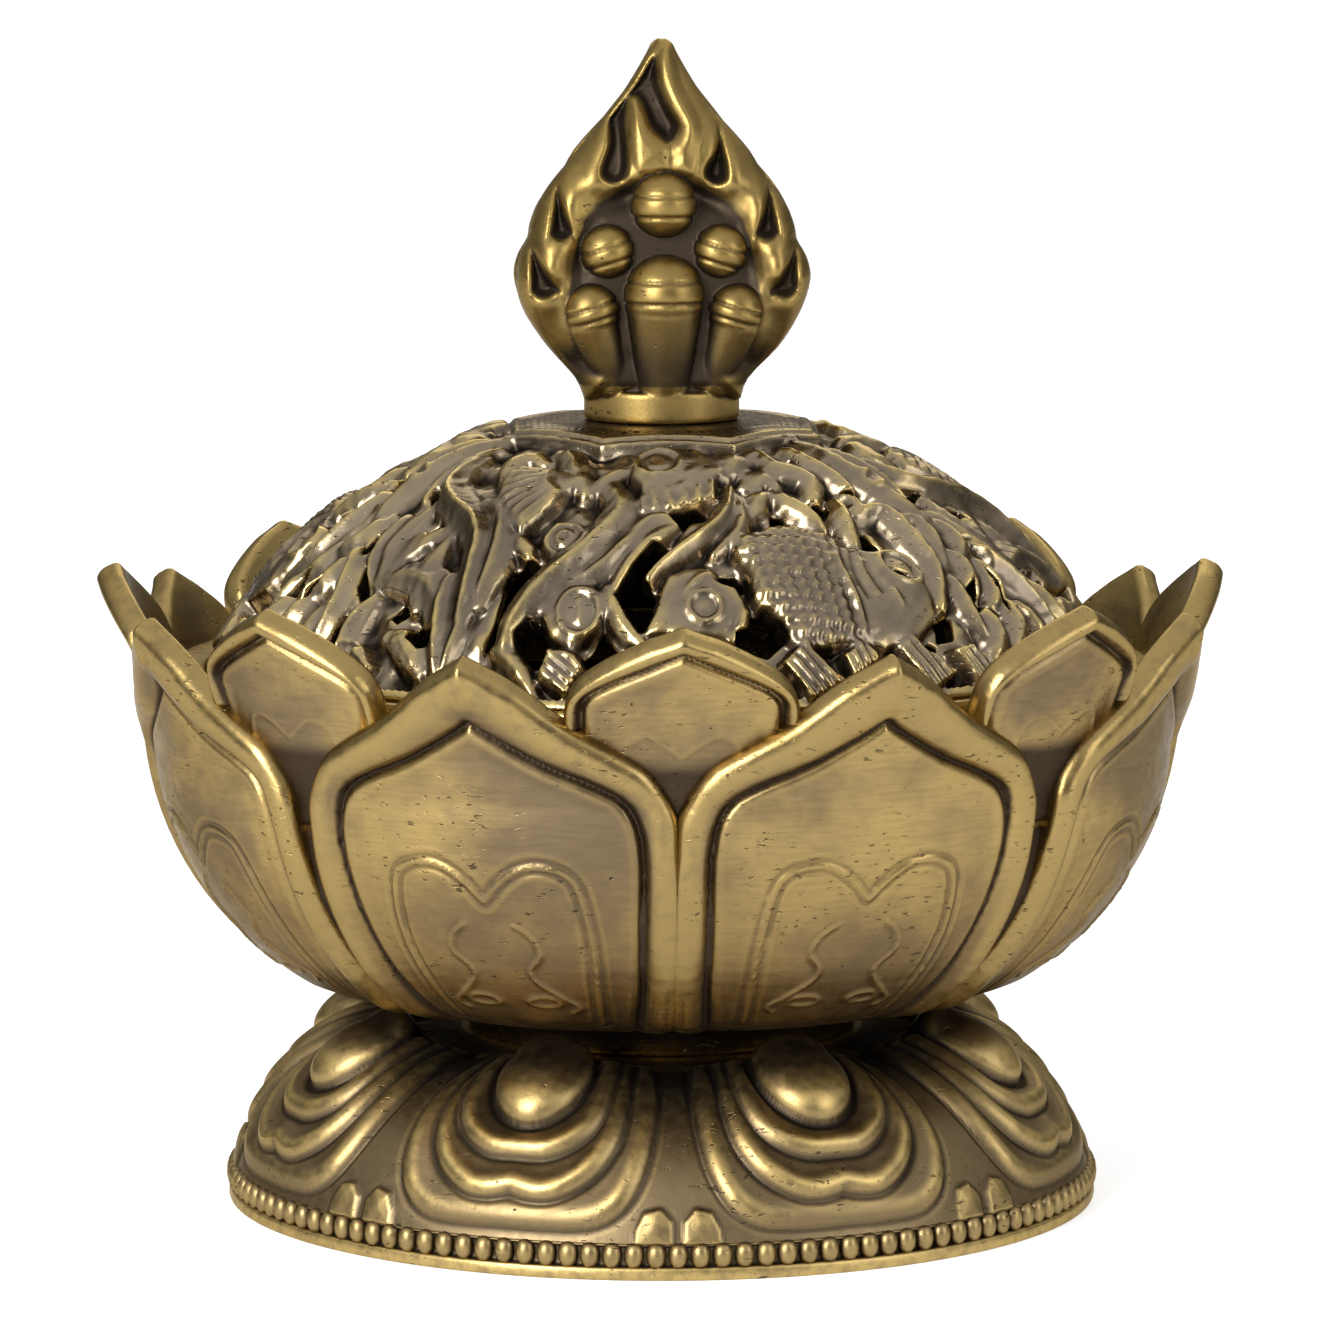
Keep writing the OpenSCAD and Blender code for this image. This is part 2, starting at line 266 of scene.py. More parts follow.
def turned(part, angle):
    """The same solid, turned about the burner's axis."""
    c, s = math.cos(angle), math.sin(angle)
    return part[0] @ np.array([[c, s, 0], [-s, c, 0], [0, 0, 1]]), *part[1:]


def piece(name, parts, material, body, slot, *nodes):
    """One Blender object from solids, riding on a body and standing for CAD nodes."""
    offsets = np.cumsum([0] + [len(p[0]) for p in parts])
    points = np.concatenate([p[0] for p in parts]) * MM
    faces = np.concatenate([p[1] + o for p, o in zip(parts, offsets)]).astype(np.int32)
    mesh = bpy.data.meshes.new(name)
    mesh.vertices.add(len(points))
    mesh.vertices.foreach_set("co", points.astype(np.float32).ravel())
    mesh.loops.add(faces.size)
    mesh.loops.foreach_set("vertex_index", faces.ravel())
    mesh.polygons.add(len(faces))
    mesh.polygons.foreach_set("loop_start", np.arange(0, faces.size, 4, dtype=np.int32))
    mesh.polygons.foreach_set("use_smooth", np.ones(len(faces), bool))
    mesh.update(calc_edges=True)
    # broad is the broad relief, less any painted shade a solid was given.
    for key, column in (("fine", 2), ("broad", 3)):
        values = np.concatenate([p[column] for p in parts]).astype(np.float32)
        mesh.attributes.new(key, "FLOAT", "POINT").data.foreach_set("value", values)
    mesh.materials.append(material)
    made = bpy.data.objects.new(name, mesh)
    bpy.context.scene.collection.objects.link(made)
    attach(made, body)
    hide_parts(*nodes)
    return made


# ---------------------------------------------------------------- bowl


def belly(angle):
    """Point of the belly arc, in degrees from level."""
    a = math.radians(angle)
    return BELLY_CENTRE[0] + BELLY_R * math.cos(a), BELLY_CENTRE[1] + BELLY_R * math.sin(a)


class Meridian:
    """The line a petal follows up the bowl: radius and height as functions of the way along it."""

    def __init__(self, points):
        self.r, self.z = np.array(points, float).T
        self.s = np.concatenate([[0], np.cumsum(np.hypot(np.diff(self.r), np.diff(self.z)))])

    def at_height(self, z):
        return float(np.interp(z, self.z, self.s))

    def lay(self, half):
        """Turns (sideways, height) points into (sideways, way along)."""
        return [(a, self.at_height(z)) for a, z in half]

    def bend(self, points):
        """Takes (sideways, along, outward) points to the front of the bowl."""
        a, s, out = points.T
        r, z = np.interp(s, self.s, self.r), np.interp(s, self.s, self.z)
        near = 0.4
        dr = np.interp(s + near, self.s, self.r) - np.interp(s - near, self.s, self.r)
        dz = np.interp(s + near, self.s, self.z) - np.interp(s - near, self.s, self.z)
        length = np.hypot(dr, dz) + 1e-9
        dr, dz = dr / length, dz / length
        k = PETAL_TIGHTNESS
        turn = a / ((1 - k) * r)
        reach = r * (k + (1 - k) * np.cos(turn)) + out * dz * np.cos(turn)
        side = r * (1 - k) * np.sin(turn) + out * dz * np.sin(turn)
        return np.stack([side, -reach, z - out * dr], 1)


def petal_solid(line, half, drawing, step):
    """Carves one petal flat, from its half outline and its drawing, and bends it onto the bowl."""
    outline = mirrored(line.lay(curve(half, 3)))
    width = max(x for x, _ in outline) + 3 * step
    low = min(y for _, y in outline) - 3 * step
    high = max(y for _, y in outline) + 3 * step

    def field(a, s, out):
        flat_a, flat_s = a[:, :, 0], s[:, :, 0]
        edge = outline_distance(flat_a, flat_s, outline)
        front = drawing(np.abs(flat_a), flat_s, -edge, line)
        body = smooth_max(out - front[:, :, None], -PETAL_T - out, 0.3)
        return smooth_max(body, edge[:, :, None] + 0 * out, 0.75)

    points, faces = carve(field, (-width, low, -PETAL_T - 3 * step), (width, high, 2.0), step)
    return solid(line.bend(points), faces, broad=PETAL_BLUR)


def rim_and_panel(side, along, inset, groove_line, crest, groove_depth):
    """The rolled rim of a petal, its groove, and the raised edge of the panel inside."""
    outside = outline_distance(side, along, groove_line)
    share = np.clip(outside / (np.maximum(outside, 0) + np.maximum(inset, 0) + 1e-6), 0, 1)
    rim = crest * (0.12 + 0.88 * np.sin(math.pi * np.clip(0.02 + 0.9 * share, 0, 1)) ** 0.8)
    crown = 0.75 * (1 - np.exp(-np.maximum(-outside, 0) / 4.5))
    panel = 0.1 + 0.2 * bell(outside + 1.0, 0.6) + crown
    panel = panel * smooth_step(-outside, 0, 0.6)
    return np.where(outside > 0, rim, panel) - groove_depth * bell(outside, 0.35)


def outer_drawing(side, along, inset, line):
    """Relief of an outer petal: rim, panel, cloud arch, scrolls and small ovals."""
    half = [(0, 48.2), (2, 46.9), (6.2, 44.6), (10.3, 42.9), (12.8, 41.2), (13.8, 38), (13.4, 33),
            (11.8, 26), (10, 22), (8.1, 19.4), (5.7, 17.6)]
    groove = mirrored(line.lay([*curve(half, 3), (0, 17.3)]))
    height = rim_and_panel(side, along, inset, groove, 1.25, 0.3)
    crease, _ = polyline_distance(side, along, line.lay([(0, 48.8), (0, 53)]))
    height += 0.15 * bell(crease, 0.5)
    arch = [(0, 33), (1.5, 34.6), (3.3, 35.8), (5.1, 36.1), (7, 35.6), (8, 34.4), (8.4, 31.8), (8.3, 28.5),
            (7.5, 24.5), (6.3, 21)]
    away, _ = polyline_distance(side, along, line.lay(curve(arch)))
    height += 0.2 * bell(away, 0.24) - 0.1 * bell(away - 0.55, 0.25) + 0.1 * bell(away - 1.0, 0.25)
    scroll = [(2.1, 31), (3.3, 30.1), (3.9, 28.5), (2.6, 26.9), (2.9, 25.6), (4.4, 24.2), (5.4, 23.2),
              (4.6, 22.6)]
    away, _ = polyline_distance(side, along, line.lay(curve(scroll)))
    height += 0.22 * bell(away, 0.23)
    _, oval_at = line.lay([(2.7, 23.7)])[0]
    oval = np.hypot((side - 2.7) / 1.33, (along - oval_at) / 0.75)
    height += 0.2 * bell((oval - 1) * 0.8, 0.22)
    return height * (0.1 + 0.9 * smooth_step(along, line.at_height(19.2), line.at_height(21.8)))


def inner_drawing(side, along, inset, line):
    """Relief of an inner petal: rim, panel and a small double arch."""
    half = [(0, 54.3), (3.3, 52.9), (6.7, 51.4), (8.2, 50.3), (8.5, 48.6), (8.3, 43), (7.9, 38)]
    height = rim_and_panel(side, along, inset, mirrored(line.lay([*curve(half, 3), (0, 37.2)])), 0.9, 0.22)
    arch = [(0, 45.7), (1.7, 46.9), (3, 47.4), (4.5, 46.7), (5.2, 44.5)]
    away, _ = polyline_distance(side, along, line.lay(curve(arch)))
    return height + 0.13 * bell(away, 0.28)


def bowl(material):
    arc = [belly(a) for a in np.arange(-89, -4, 3.5)]
    outer_line = Meridian([*arc, (45.8, 44.9), (46.5, 47.2), (47.3, 49.5), (48.1, 51.3), (49.2, 53.4),
                           (50, 55)])
    outer_half = [(0, 53.3), (2, 52.2), (4.3, 50.9), (8.1, 48.1), (11.5, 46.2), (14.2, 44.6),
                  (15.7, 42.8), (16.8, 40.2), (16.8, 37.4), (16.6, 33), (15.2, 26), (13.7, 22.6),
                  (12.6, 20.8), (10.6, 19.4)]
    inner_line = Meridian([(34.6, 23.5), (38.4, 27.5), (41, 31.5), (43, 37.5), (44.3, 43.5), (45.4, 46.6),
                           (46.7, 50), (48, 53), (49.6, 56.4), (50.2, 58)])
    inner_half = [(0, 56), (1.6, 55.4), (3.3, 54.8), (6.7, 53.1), (8.9, 51.5), (9.8, 49.6), (9.8, 47),
                  (9.5, 43), (8.6, 33), (7.4, 27), (6.4, 24)]
    uneven = np.radians([-1.4, 0.5, -0.3, 0.6, 0.4, -0.5, -0.4, 0.6])
    outer = petal_solid(outer_line, outer_half, outer_drawing, STEP)
    # Painted shade, darker towards the bottom of the outer petals.
    outer = shade_painted(outer, 0.5 * smooth_step(-outer[0][:, 2], -28, -18))
    inner = petal_solid(inner_line, inner_half, inner_drawing, STEP)
    # Painted shade on the lower part of the inner petals, behind the outer ones.
    inner = shade_painted(inner, 0.7 * smooth_step(-inner[0][:, 2], -47, -41))
    for i in range(PETALS):
        turn = (i + 0.5) * SECTOR + uneven[i]
        piece(f"outer_petal_{i + 1}", [turned(outer, turn)], material, "base", "cast_brass", "bowl")
        piece(f"inner_petal_{i + 1}", [turned(inner, i * SECTOR)], material, "base", "cast_brass", "bowl")
    core = solid(*lathe(eased(bowl_profile(), 0.5)))
    # Painted shade on the bowl core below the petals and at its neck above the foot.
    core = shade_painted(core, 0.6 * smooth_step(-core[0][:, 2], -46, -43))
    piece("bowl_core", [core], material, "base", "cast_brass", "bowl")


def bowl_profile():
    """Wall, floor, screw boss and lid recess of the bowl, without its petals."""
    inner_c, inner_r = (17.4, 43.5), 20.6
    screw_bore, boss_r, floor_z, boss_z = 2.56, 7.0, 22.9, 24.9
    outside = [(BELLY_CENTRE[0] + 25.0 * math.cos(a), BELLY_CENTRE[1] + 25.0 * math.sin(a))
               for a in np.radians(np.arange(-84, 1, 6))]
    inside = [(inner_c[0] + inner_r * math.cos(a), inner_c[1] + inner_r * math.sin(a))
              for a in np.radians(np.arange(0, -91, -6))]
    return [(screw_bore, 15.0), (17.2, 15), (17.5, 16.4), (18.2, 17.8), *outside, (43.8, 47), (43.3, 47.6),
            (40.4, 47.4), (40, 45.5), (38, 45.5), *inside, (boss_r, floor_z), (boss_r, boss_z),
            (3.4, boss_z), (screw_bore, boss_z - 0.8)]


# ---------------------------------------------------------------- pedestal


def foot_relief(side, along, half_width):
    """Height of the pedestal's relief: three stepped petals, a boss and two small teeth between."""
    tiers = [
        (0.85, 1.5, [(0, 5.9), (5, 5.9), (8, 6.3), (10, 7.7), (11, 9.8), (11.3, 12.2), (11, 15.2),
                     (10.1, 19), (8.6, 23), (7.4, 26)]),
        (1.0, 1.3, [(0, 8.6), (2, 8.2), (4, 8.4), (6, 9.5), (7.5, 11.1), (8.4, 13.4), (8.4, 15.8),
                    (7.9, 18.6), (7, 21.6), (6.3, 24.5)]),
        (0.95, 1.15, [(0, 11.8), (2.4, 11.9), (4.3, 12.7), (5.8, 14.1), (6.5, 16), (6.5, 18.3),
                      (6.1, 20.8), (5.4, 23.6)]),
    ]
    height = np.zeros(side.shape)
    for step, width, half in tiers:
        outline = mirrored([*curve(half, 3), (0, half[-1][1] + 1)])
        inside = -outline_distance(side, along, outline)
        lip = (1 - np.exp(-np.maximum(inside, 0) / 0.5)) * (0.35 + 0.65 * bell(inside - 1.1, width))
        height += step * lip - 0.15 * bell(inside + 0.1, 0.25)
    boss = np.hypot(side / 4.1, (along - 20.0) / 5.1)
    height += 2.5 * np.sqrt(np.clip(1 - boss**2, 0, 1)) - 0.25 * bell((boss - 1.06) * 4.3, 0.4)
    tooth = [(0.3, 4.6), (0.3, 7), (1.4, 8.3), (3, 7.9), (3.8, 6.3), (3.9, 4.6)]
    inside = -outline_distance(half_width - np.abs(side), along, tooth)
    height += 0.5 * smooth_step(inside, 0, 0.35) + 0.25 * np.clip(inside - 0.35, 0, 1)
    return height * (0.45 + 0.55 * smooth_step(along, 5.0, 9.5))


def foot_profile():
    """Rows of the pedestal's outside, top to rim: radius, height, outward direction, way along."""
    rows = [(18.6, 14.7, 0.0, 1.0, 29.8), (20.3, 14.8, 0.0, 1.0, 28.1)]
    for along in np.arange(26.4, 4.9, -0.2):
        a = along / FOOT_R
        rows.append((FOOT_CENTRE[0] + FOOT_R * math.cos(a), FOOT_CENTRE[1] + FOOT_R * math.sin(a),
                     math.cos(a), math.sin(a), along))
    return rows


def pedestal(material):
    """One skin: the relief outside, closed by the rim and the hollow underneath, and the beads."""
    columns = 1120
    turn = 2 * math.pi * (np.arange(columns) + 0.5) / columns
    rows = foot_profile()
    r, z, out_r, out_z, along = (np.array(c)[:, None] for c in zip(*rows))
    local = (turn - FRONT) % SECTOR - SECTOR / 2
    side = r * local
    height = foot_relief(side, along + 0 * side, r * SECTOR / 2)
    height *= smooth_step(along, 4.7, 5.2) * smooth_step(-along, -27.8, -26.6)
    ring_r = r + height * out_r
    ring_z = z + height * out_z
    hollow = np.radians(np.arange(9, 91, 9))
    under = [(19.6 + 17.0 * math.cos(a), -2.2 + 14.3 * math.sin(a)) for a in hollow]
    closing = np.array(eased([(38.15, 2.95), (37.9, 2.75), (37.9, 1.15), (38.6, 1.1), (38.65, 0),
                              (36.6, 0), *under, (3, 12), (3, 15), (17.4, 15)], 0.25, 2))
    ring_r = np.concatenate([ring_r, np.repeat(closing[:, :1], columns, 1)])
    ring_z = np.concatenate([ring_z, np.repeat(closing[:, 1:], columns, 1)])
    points = np.stack([ring_r * np.cos(turn), ring_r * np.sin(turn), ring_z], 2).reshape(-1, 3)
    shell = solid(points, grid_faces(len(ring_r), columns), broad=FOOT_BLUR)
    # Painted shade on the top of the pedestal, under the bowl.
    shell = shade_painted(shell, 0.45 * smooth_step(-np.hypot(points[:, 0], points[:, 1]), -32.5, -24))
    piece("pedestal_shell", [shell, *beads()], material, "base", "cast_brass", "pedestal")


def beads(count=128):
    """Upright oblong beads round the rim."""
    ball = rounded_bead(0.88, 0.8, 1.08)
    made = []
    for i in range(count):
        points = ball[0] + np.array([38.05, 0, 2.06])
        made.append(turned((points, *ball[1:]), 2 * math.pi * i / count))
    return made


def rounded_bead(across, deep, tall, segments=12, rows=7):
    """A closed oblong bead with flattened sides, standing at the origin."""
    polar = np.linspace(0.12, math.pi - 0.12, rows)
    turn = 2 * math.pi * np.arange(segments) / segments
    ring = np.sin(polar)[:, None] ** 0.7
    points = np.stack([deep * ring * np.cos(turn), across * ring * np.sin(turn),
                       tall * np.cos(polar)[:, None] + 0 * turn], 2).reshape(-1, 3)
    ends = [points[:segments].mean(0), points[-segments:].mean(0)]
    i, j = np.meshgrid(np.arange(rows - 1), np.arange(segments), indexing="ij")
    over = (j + 1) % segments
    faces = np.stack([i * segments + j, i * segments + over, (i + 1) * segments + over,
                      (i + 1) * segments + j], -1).reshape(-1, 4)
    n = len(points)
    last = (rows - 1) * segments
    caps = []
    for k in range(0, segments, 2):
        a, b, c = k, (k + 1) % segments, (k + 2) % segments
        caps.append((n, c, b, a))
        caps.append((n + 1, last + a, last + b, last + c))
    points = np.concatenate([points, ends])
    faces = np.concatenate([faces, caps])
    faces = outwards(points, faces)
    proud = points[:, 0] * 0.25
    return points, faces, proud * 0.3, proud


# ---------------------------------------------------------------- lid


def softened(height, rounds):
    """A drawing with its steps softened by a cell or two."""
    for _ in range(rounds):
        for axis in (0, 1):
            height = 0.5 * height + 0.25 * (np.roll(height, 1, axis) + np.roll(height, -1, axis))
    return height


class Relief:
    """A height drawing on flat (u, v) points, made by laying strokes and shapes over each other."""

    def __init__(self, u, v, base):
        self.u, self.v, self.height = u, v, base
        self.holes = np.full(u.shape, NO_HOLE)

    def near(self, points, margin):
        """Which places lie within margin of the points' box."""
        low, high = np.min(points, 0) - margin, np.max(points, 0) + margin
        return (self.u > low[0]) & (self.u < high[0]) & (self.v > low[1]) & (self.v < high[1])

    def ribbon(self, points, width, top, ridge=1.6):
        """A tapering ribbon: a high ridge gives a sharp crest with hollow sides, below 1 a round back."""
        here = self.near(points, 1.3 * width)
        away, along = polyline_distance(self.u[here], self.v[here], curve(points, 4))
        top = top * (0.05 + 0.95 * np.sin(math.pi * np.clip(0.02 + 0.95 * along, 0, 1)) ** 0.5)
        reach = 1.15 * width * (0.35 + 0.65 * np.sin(math.pi * (0.12 + 0.8 * along)))
        share = np.clip(1 - away / reach, 0, 1)
        raised = 1.35 * top * share**ridge - 0.25
        self.height[here] = np.where(share > 0, np.maximum(self.height[here], raised), self.height[here])

    def patch(self, points, top, dome=0.0, texture=None):
        """A flat or slightly domed area with a crisp edge."""
        here = self.near(points, 1)
        u, v = self.u[here], self.v[here]
        inside = -outline_distance(u, v, points)
        raised = top + dome * (1 - np.exp(-np.maximum(inside, 0) / 0.9))
        if texture is not None:
            raised = raised + texture(u, v)
        self.height[here] = np.where(inside > 0, np.maximum(self.height[here], raised), self.height[here])

    def ring(self, centre, radius, lift, width=0.24, squash=1.0):
        """A raised ring with a groove inside it."""
        away = np.hypot(self.u - centre[0], (self.v - centre[1]) / squash) - radius
        self.height += lift * bell(away, width) - 0.5 * lift * bell(away + 0.5, width)

    def line(self, points, lift, width=0.22):
        """A thin raised line, or a scratch if lift is below 0."""
        here = self.near(points, 1)
        away, _ = polyline_distance(self.u[here], self.v[here], curve(points, 4))
        self.height[here] += lift * bell(away, width)

    def hole(self, points):
        here = self.near(points, 2)
        distance = outline_distance(self.u[here], self.v[here], points)
        self.holes[here] = np.minimum(self.holes[here], distance)


def ribs(angle, pitch, lift):
    """Parallel rounded ribs across a patch."""
    c, s = math.cos(math.radians(angle)), math.sin(math.radians(angle))
    return lambda u, v: lift * np.abs(np.sin(math.pi * (u * c + v * s) / pitch))


def scales(u, v):
    """Overlapping fish scales in rows along the body."""
    c, s = math.cos(math.radians(-32)), math.sin(math.radians(-32))
    along, across = (u * c + v * s) / 1.9, (v * c - u * s) / 1.6
    lift, bare = np.zeros(u.shape), np.ones(u.shape, bool)
    for ahead in (2, 1, 0, -1):
        row = np.floor(2 * along) + ahead
        shift = 0.5 * (row % 2)
        behind = row / 2 - along
        span = np.hypot(behind, across - shift - np.round(across - shift))
        lift = np.where(bare & (span < 0.58), 1.1 * behind, lift)
        bare &= span >= 0.58
    return lift - 0.1


def leaves(art):
    """Ribbons and leaves of the left half of the front."""
    art.ribbon([(-27.4, -22.6), (-25.4, -24), (-23.5, -26), (-22.5, -28.4), (-22.6, -31.4),
                (-23, -33.6)], 1.9, 0.5)
    art.ribbon([(-27.6, -23), (-25.7, -18.4), (-23.7, -16.7), (-21.8, -15.9)], 1.5, 0.4)
    art.ribbon([(-24.6, -29), (-23.6, -26.5), (-22.2, -24.2), (-20.8, -22.4)], 1.3, 0.3, 0.8)
    art.ribbon([(-26, -21.5), (-23.8, -20.4), (-21.8, -20.6), (-20.4, -21.8)], 1.3, 0.2, 0.8)
    art.ribbon([(-18.6, -31.9), (-17.8, -30.3), (-16.6, -28), (-15.6, -25.2), (-15.3, -22.3),
                (-15.9, -19.9), (-17.4, -18.9)], 1.6, 0.85)
    art.ribbon([(-16.6, -9.4), (-18.4, -11.5), (-19.6, -14.6), (-18.9, -18.7), (-17.7, -21.8),
                (-17.5, -24.9), (-18.4, -27.8), (-19.7, -31.1), (-20.7, -33.4)], 1.9, 1.3)
    art.ribbon([(-21, -27.5), (-21.8, -29.8), (-22.6, -32.6), (-23.3, -35.3), (-23.8, -37.6)], 1.3, 0.9)
    art.ribbon([(-20, -32.6), (-21.2, -34.8), (-23.1, -37.6)], 0.9, 0.6)
    art.ribbon([(-27.8, -30.6), (-26.4, -32.4), (-25.4, -36.5)], 1.4, 0.3, 0.8)
    for k in range(4):
        art.line([(-28.0 + 0.7 * k, -31.6), (-27.0 + 0.7 * k, -36.0)], 0.25, 0.2)


def fan_tail(art):
    """The fan of fine ribs, and the round knobs above it."""
    fan = [(-7.4, -19.8), (-10.2, -17.6), (-13, -15.6), (-15, -16.8), (-15.6, -20.2), (-15.1, -23.6),
           (-13.6, -25.8), (-10.4, -23.2)]
    art.patch(fan, 0.35, 0.4)
    for k in range(9):
        turn = math.radians(-38 + 10.5 * k)
        tip = (-7.6 - 7.2 * math.cos(turn), -20.0 - 7.2 * math.sin(turn))
        start = (-8.0 - 2.6 * math.cos(turn), -20.0 - 2.6 * math.sin(turn))
        art.line([start, tip], 0.42, 0.2)
    art.ribbon([(-14.6, -15.6), (-13.6, -13.6), (-12.2, -13.2), (-11, -14.6)], 1.3, 0.5, 0.6)
    art.ribbon([(-9.4, -13.6), (-8.4, -15.6), (-8.2, -19), (-7.6, -21.8)], 1.4, 0.7, 0.7)
    art.ribbon([(-6.6, -21.5), (-5.2, -19.8), (-3.4, -18.8)], 1.0, 0.5, 0.8)


def branches(art):
    """The thick forked branch, its discs and the ribbed blocks below it."""
    trunk = [(-7.4, -34), (-10.8, -33.4), (-13, -35), (-12.2, -38.6), (-10.2, -40.6), (-7.4, -38.6),
             (-6.2, -36)]
    art.patch(trunk, 0.05, 0.25)
    art.ribbon([(-5.2, -21.6), (-4.5, -24.6), (-5.6, -27.3), (-8, -30), (-10.8, -32), (-13.6, -34),
                (-15.6, -36.2), (-16.8, -38.6)], 2.0, 1.25, 1.0)
    art.ribbon([(0.4, -26.3), (-2, -26.8), (-4, -29.4), (-6.2, -31.6), (-8.6, -32.9), (-10.8, -33.6)],
               1.5, 0.8, 1.2)
    art.ribbon([(0.2, -27.4), (-1.9, -29.3), (-4, -32), (-5.9, -34.8)], 1.0, 0.65, 0.6)
    art.ribbon([(-6.3, -34.4), (-5.7, -37.2), (-4.4, -39.6), (-3, -41)], 1.1, 0.6, 0.9)
    art.ring((-9.1, -36.7), 1.9, 0.35, squash=1.25)
    art.line([(-9.1, -35.2), (-9, -38.2)], 0.25)
    art.patch([(-7.6, -28.2), (-8, -26.2), (-10.4, -25.6), (-12.2, -27.6), (-11.4, -30.2),
               (-9.2, -30.2)], 0.1, 0.2)
    art.ring((-9.8, -28), 1.7, 0.35, squash=1.2)
    art.ring((-9.8, -28), 0.7, 0.3, squash=1.2)
    art.ribbon([(-14.4, -25.6), (-13.6, -27.4), (-13.2, -29)], 0.9, 0.4, 0.7)
    art.patch([(-12.4, -39.6), (-9.6, -40.8), (-8.9, -42.4), (-11.2, -45.2), (-13.9, -42.2)], 0.2, 0.0,
              ribs(40, 0.85, 0.6))
    art.ribbon([(-17.6, -37.8), (-16.1, -39.7), (-15.1, -41.9), (-14, -44.4)], 1.0, 0.6, 0.9)


def sun_disc(art):
    """The plate with a ring at the top of the front, and the blocks that hang from it."""
    plate = [(-3.6, -20.6), (-3, -17.4), (-0.6, -15.8), (2.4, -16), (4.4, -17.6), (4.8, -20.2),
             (2.6, -22.4), (0.4, -23.6), (-2.2, -23.4)]
    art.patch(plate, 0.35, 0.35)
    art.ring((-1, -19), 1.9, 0.45, squash=1.15)
    art.patch([(-2.8, -22.2), (0.6, -22), (4.2, -20.8), (4, -24), (0.2, -25.6), (-2.8, -25.8)], 0.1, 0.0,
              ribs(4, 1.3, 0.5))
    art.ribbon([(5, -15.6), (5.4, -17.6), (4.8, -19.6)], 1.6, 0.7, 0.6)


def leaf_and_face(art):
    """The three-lobed leaf with a ring, and the leaf blade above it."""
    lobe = [(-0.8, -33.6), (1.1, -32.7), (3.2, -32.6), (3.9, -33.9), (5.8, -34.6), (6.5, -35.9),
            (7.1, -37.5), (6.9, -38.6), (5.4, -38.8), (5.2, -40.7), (3.8, -40.2), (0.3, -40.2),
            (-3.3, -39.9), (-1.9, -36.7), (-1.4, -35)]
    art.patch(lobe, 0.0, 0.55, lambda u, v: 0.06 * np.sin(9 * (u + v)))
    art.ring((2.6, -37.3), 1.5, 0.45)
    art.ribbon([(3.6, -33.4), (2.2, -34.2), (0.9, -35.9), (0.2, -37.4)], 0.8, 0.95, 1.0)
    art.ribbon([(6, -36.2), (6.3, -38.2), (5.2, -40.4)], 0.8, 0.7, 1.0)
    art.patch([(4.6, -23.2), (3.4, -25.6), (2.8, -27.1), (1.3, -27.5), (0.4, -29.4), (-0.4, -31.4),
               (2, -30), (4.2, -27.6)], 0.15, 0.4)
    art.ribbon([(5.2, -21.4), (4.8, -25.5), (3.4, -28.1), (1.2, -30.3), (-0.9, -32.2), (-3, -34.4)],
               1.0, 1.1, 1.1)
    art.ribbon([(5.8, -22.6), (6.2, -25.8), (5.6, -28.4), (3.6, -30.9)], 0.9, 0.7, 1.0)


def fish(art):
    """The fish: scaled body, gill, head folds, eye slit and fin."""
    body = [(5.2, -28.6), (7.1, -28.1), (10, -26.3), (11.8, -26.2), (14.3, -26.3), (15.4, -28.5),
            (15.8, -31.9), (17.1, -34.4), (18.1, -37.2), (13.7, -39.6), (10.9, -39.8), (10.1, -38.2),
            (8.9, -37), (7.3, -36.2), (6.6, -33), (5.4, -31)]
    art.patch(curve([*body, body[0]], 3), 0.1, 0.85, scales)
    head = [(14.9, -27.3), (17.7, -26.6), (20.3, -24.9), (22.3, -25.1), (24.1, -27.7), (25.2, -30.9),
            (23.7, -34.2), (20.4, -37.3), (18, -37.3), (16.6, -33.4)]
    art.patch(head, 0.35, 0.4)
    art.ribbon([(14.7, -26.9), (14.9, -29.8), (16, -32.2), (17.2, -34.6), (18.4, -37.6)], 1.0, 1.3, 0.9)
    art.line([(16.3, -28), (16.9, -30.4), (18.3, -32.6)], -0.4, 0.3)
    art.line([(17.4, -27.4), (18, -29.4), (19.5, -31.2)], -0.35, 0.3)
    art.ring((20.9, -27.2), 2.1, 0.5, 0.3, 0.75)
    art.ribbon([(19.6, -29.8), (20.7, -31.2), (22, -32.4)], 0.9, 1.1, 0.6)
    art.ribbon([(16.9, -26.6), (15.8, -23.6), (14.9, -20.2)], 1.3, 1.0, 0.9)
    art.ribbon([(17, -20.4), (19.2, -18.8), (20.8, -19.8), (22.7, -21.7), (24.8, -24.2), (25.8, -28.4)],
               1.5, 1.0)
    art.ribbon([(20.4, -19), (22.5, -17.6), (24.6, -19), (26, -22.8)], 1.1, 0.6, 1.0)


def clouds(art):
    """Knobs and ribbons of the upper right."""
    art.ribbon([(6.3, -17.4), (7.8, -15.4), (9.2, -17.2), (10.8, -17.2), (12.6, -18), (12.9, -20.7)],
               1.5, 0.7, 0.7)
    art.ribbon([(6.8, -20.6), (8.2, -19.2), (9.4, -19.8)], 1.4, 0.3, 0.7)
    art.ribbon([(7, -25.4), (7.6, -23.2), (8.4, -21.6)], 1.1, 0.4, 0.7)
    art.ribbon([(9.4, -21.4), (10.4, -22.4), (12, -23.4), (13.9, -24.9)], 1.1, 0.7, 0.9)
    art.ribbon([(10.4, -12.2), (13, -14.9), (15.6, -17), (17.3, -19.9)], 1.0, 0.8, 1.0)
    art.ribbon([(12.2, -9.6), (15.6, -13.2), (18.7, -14.9), (21.6, -16.4), (25, -17.2)], 1.9, 0.9, 0.8)
    art.ribbon([(14.6, -8.6), (18, -11.2), (22, -12.6)], 1.2, 0.6, 1.0)
    art.ring((18.2, -14.8), 0.9, 0.4)


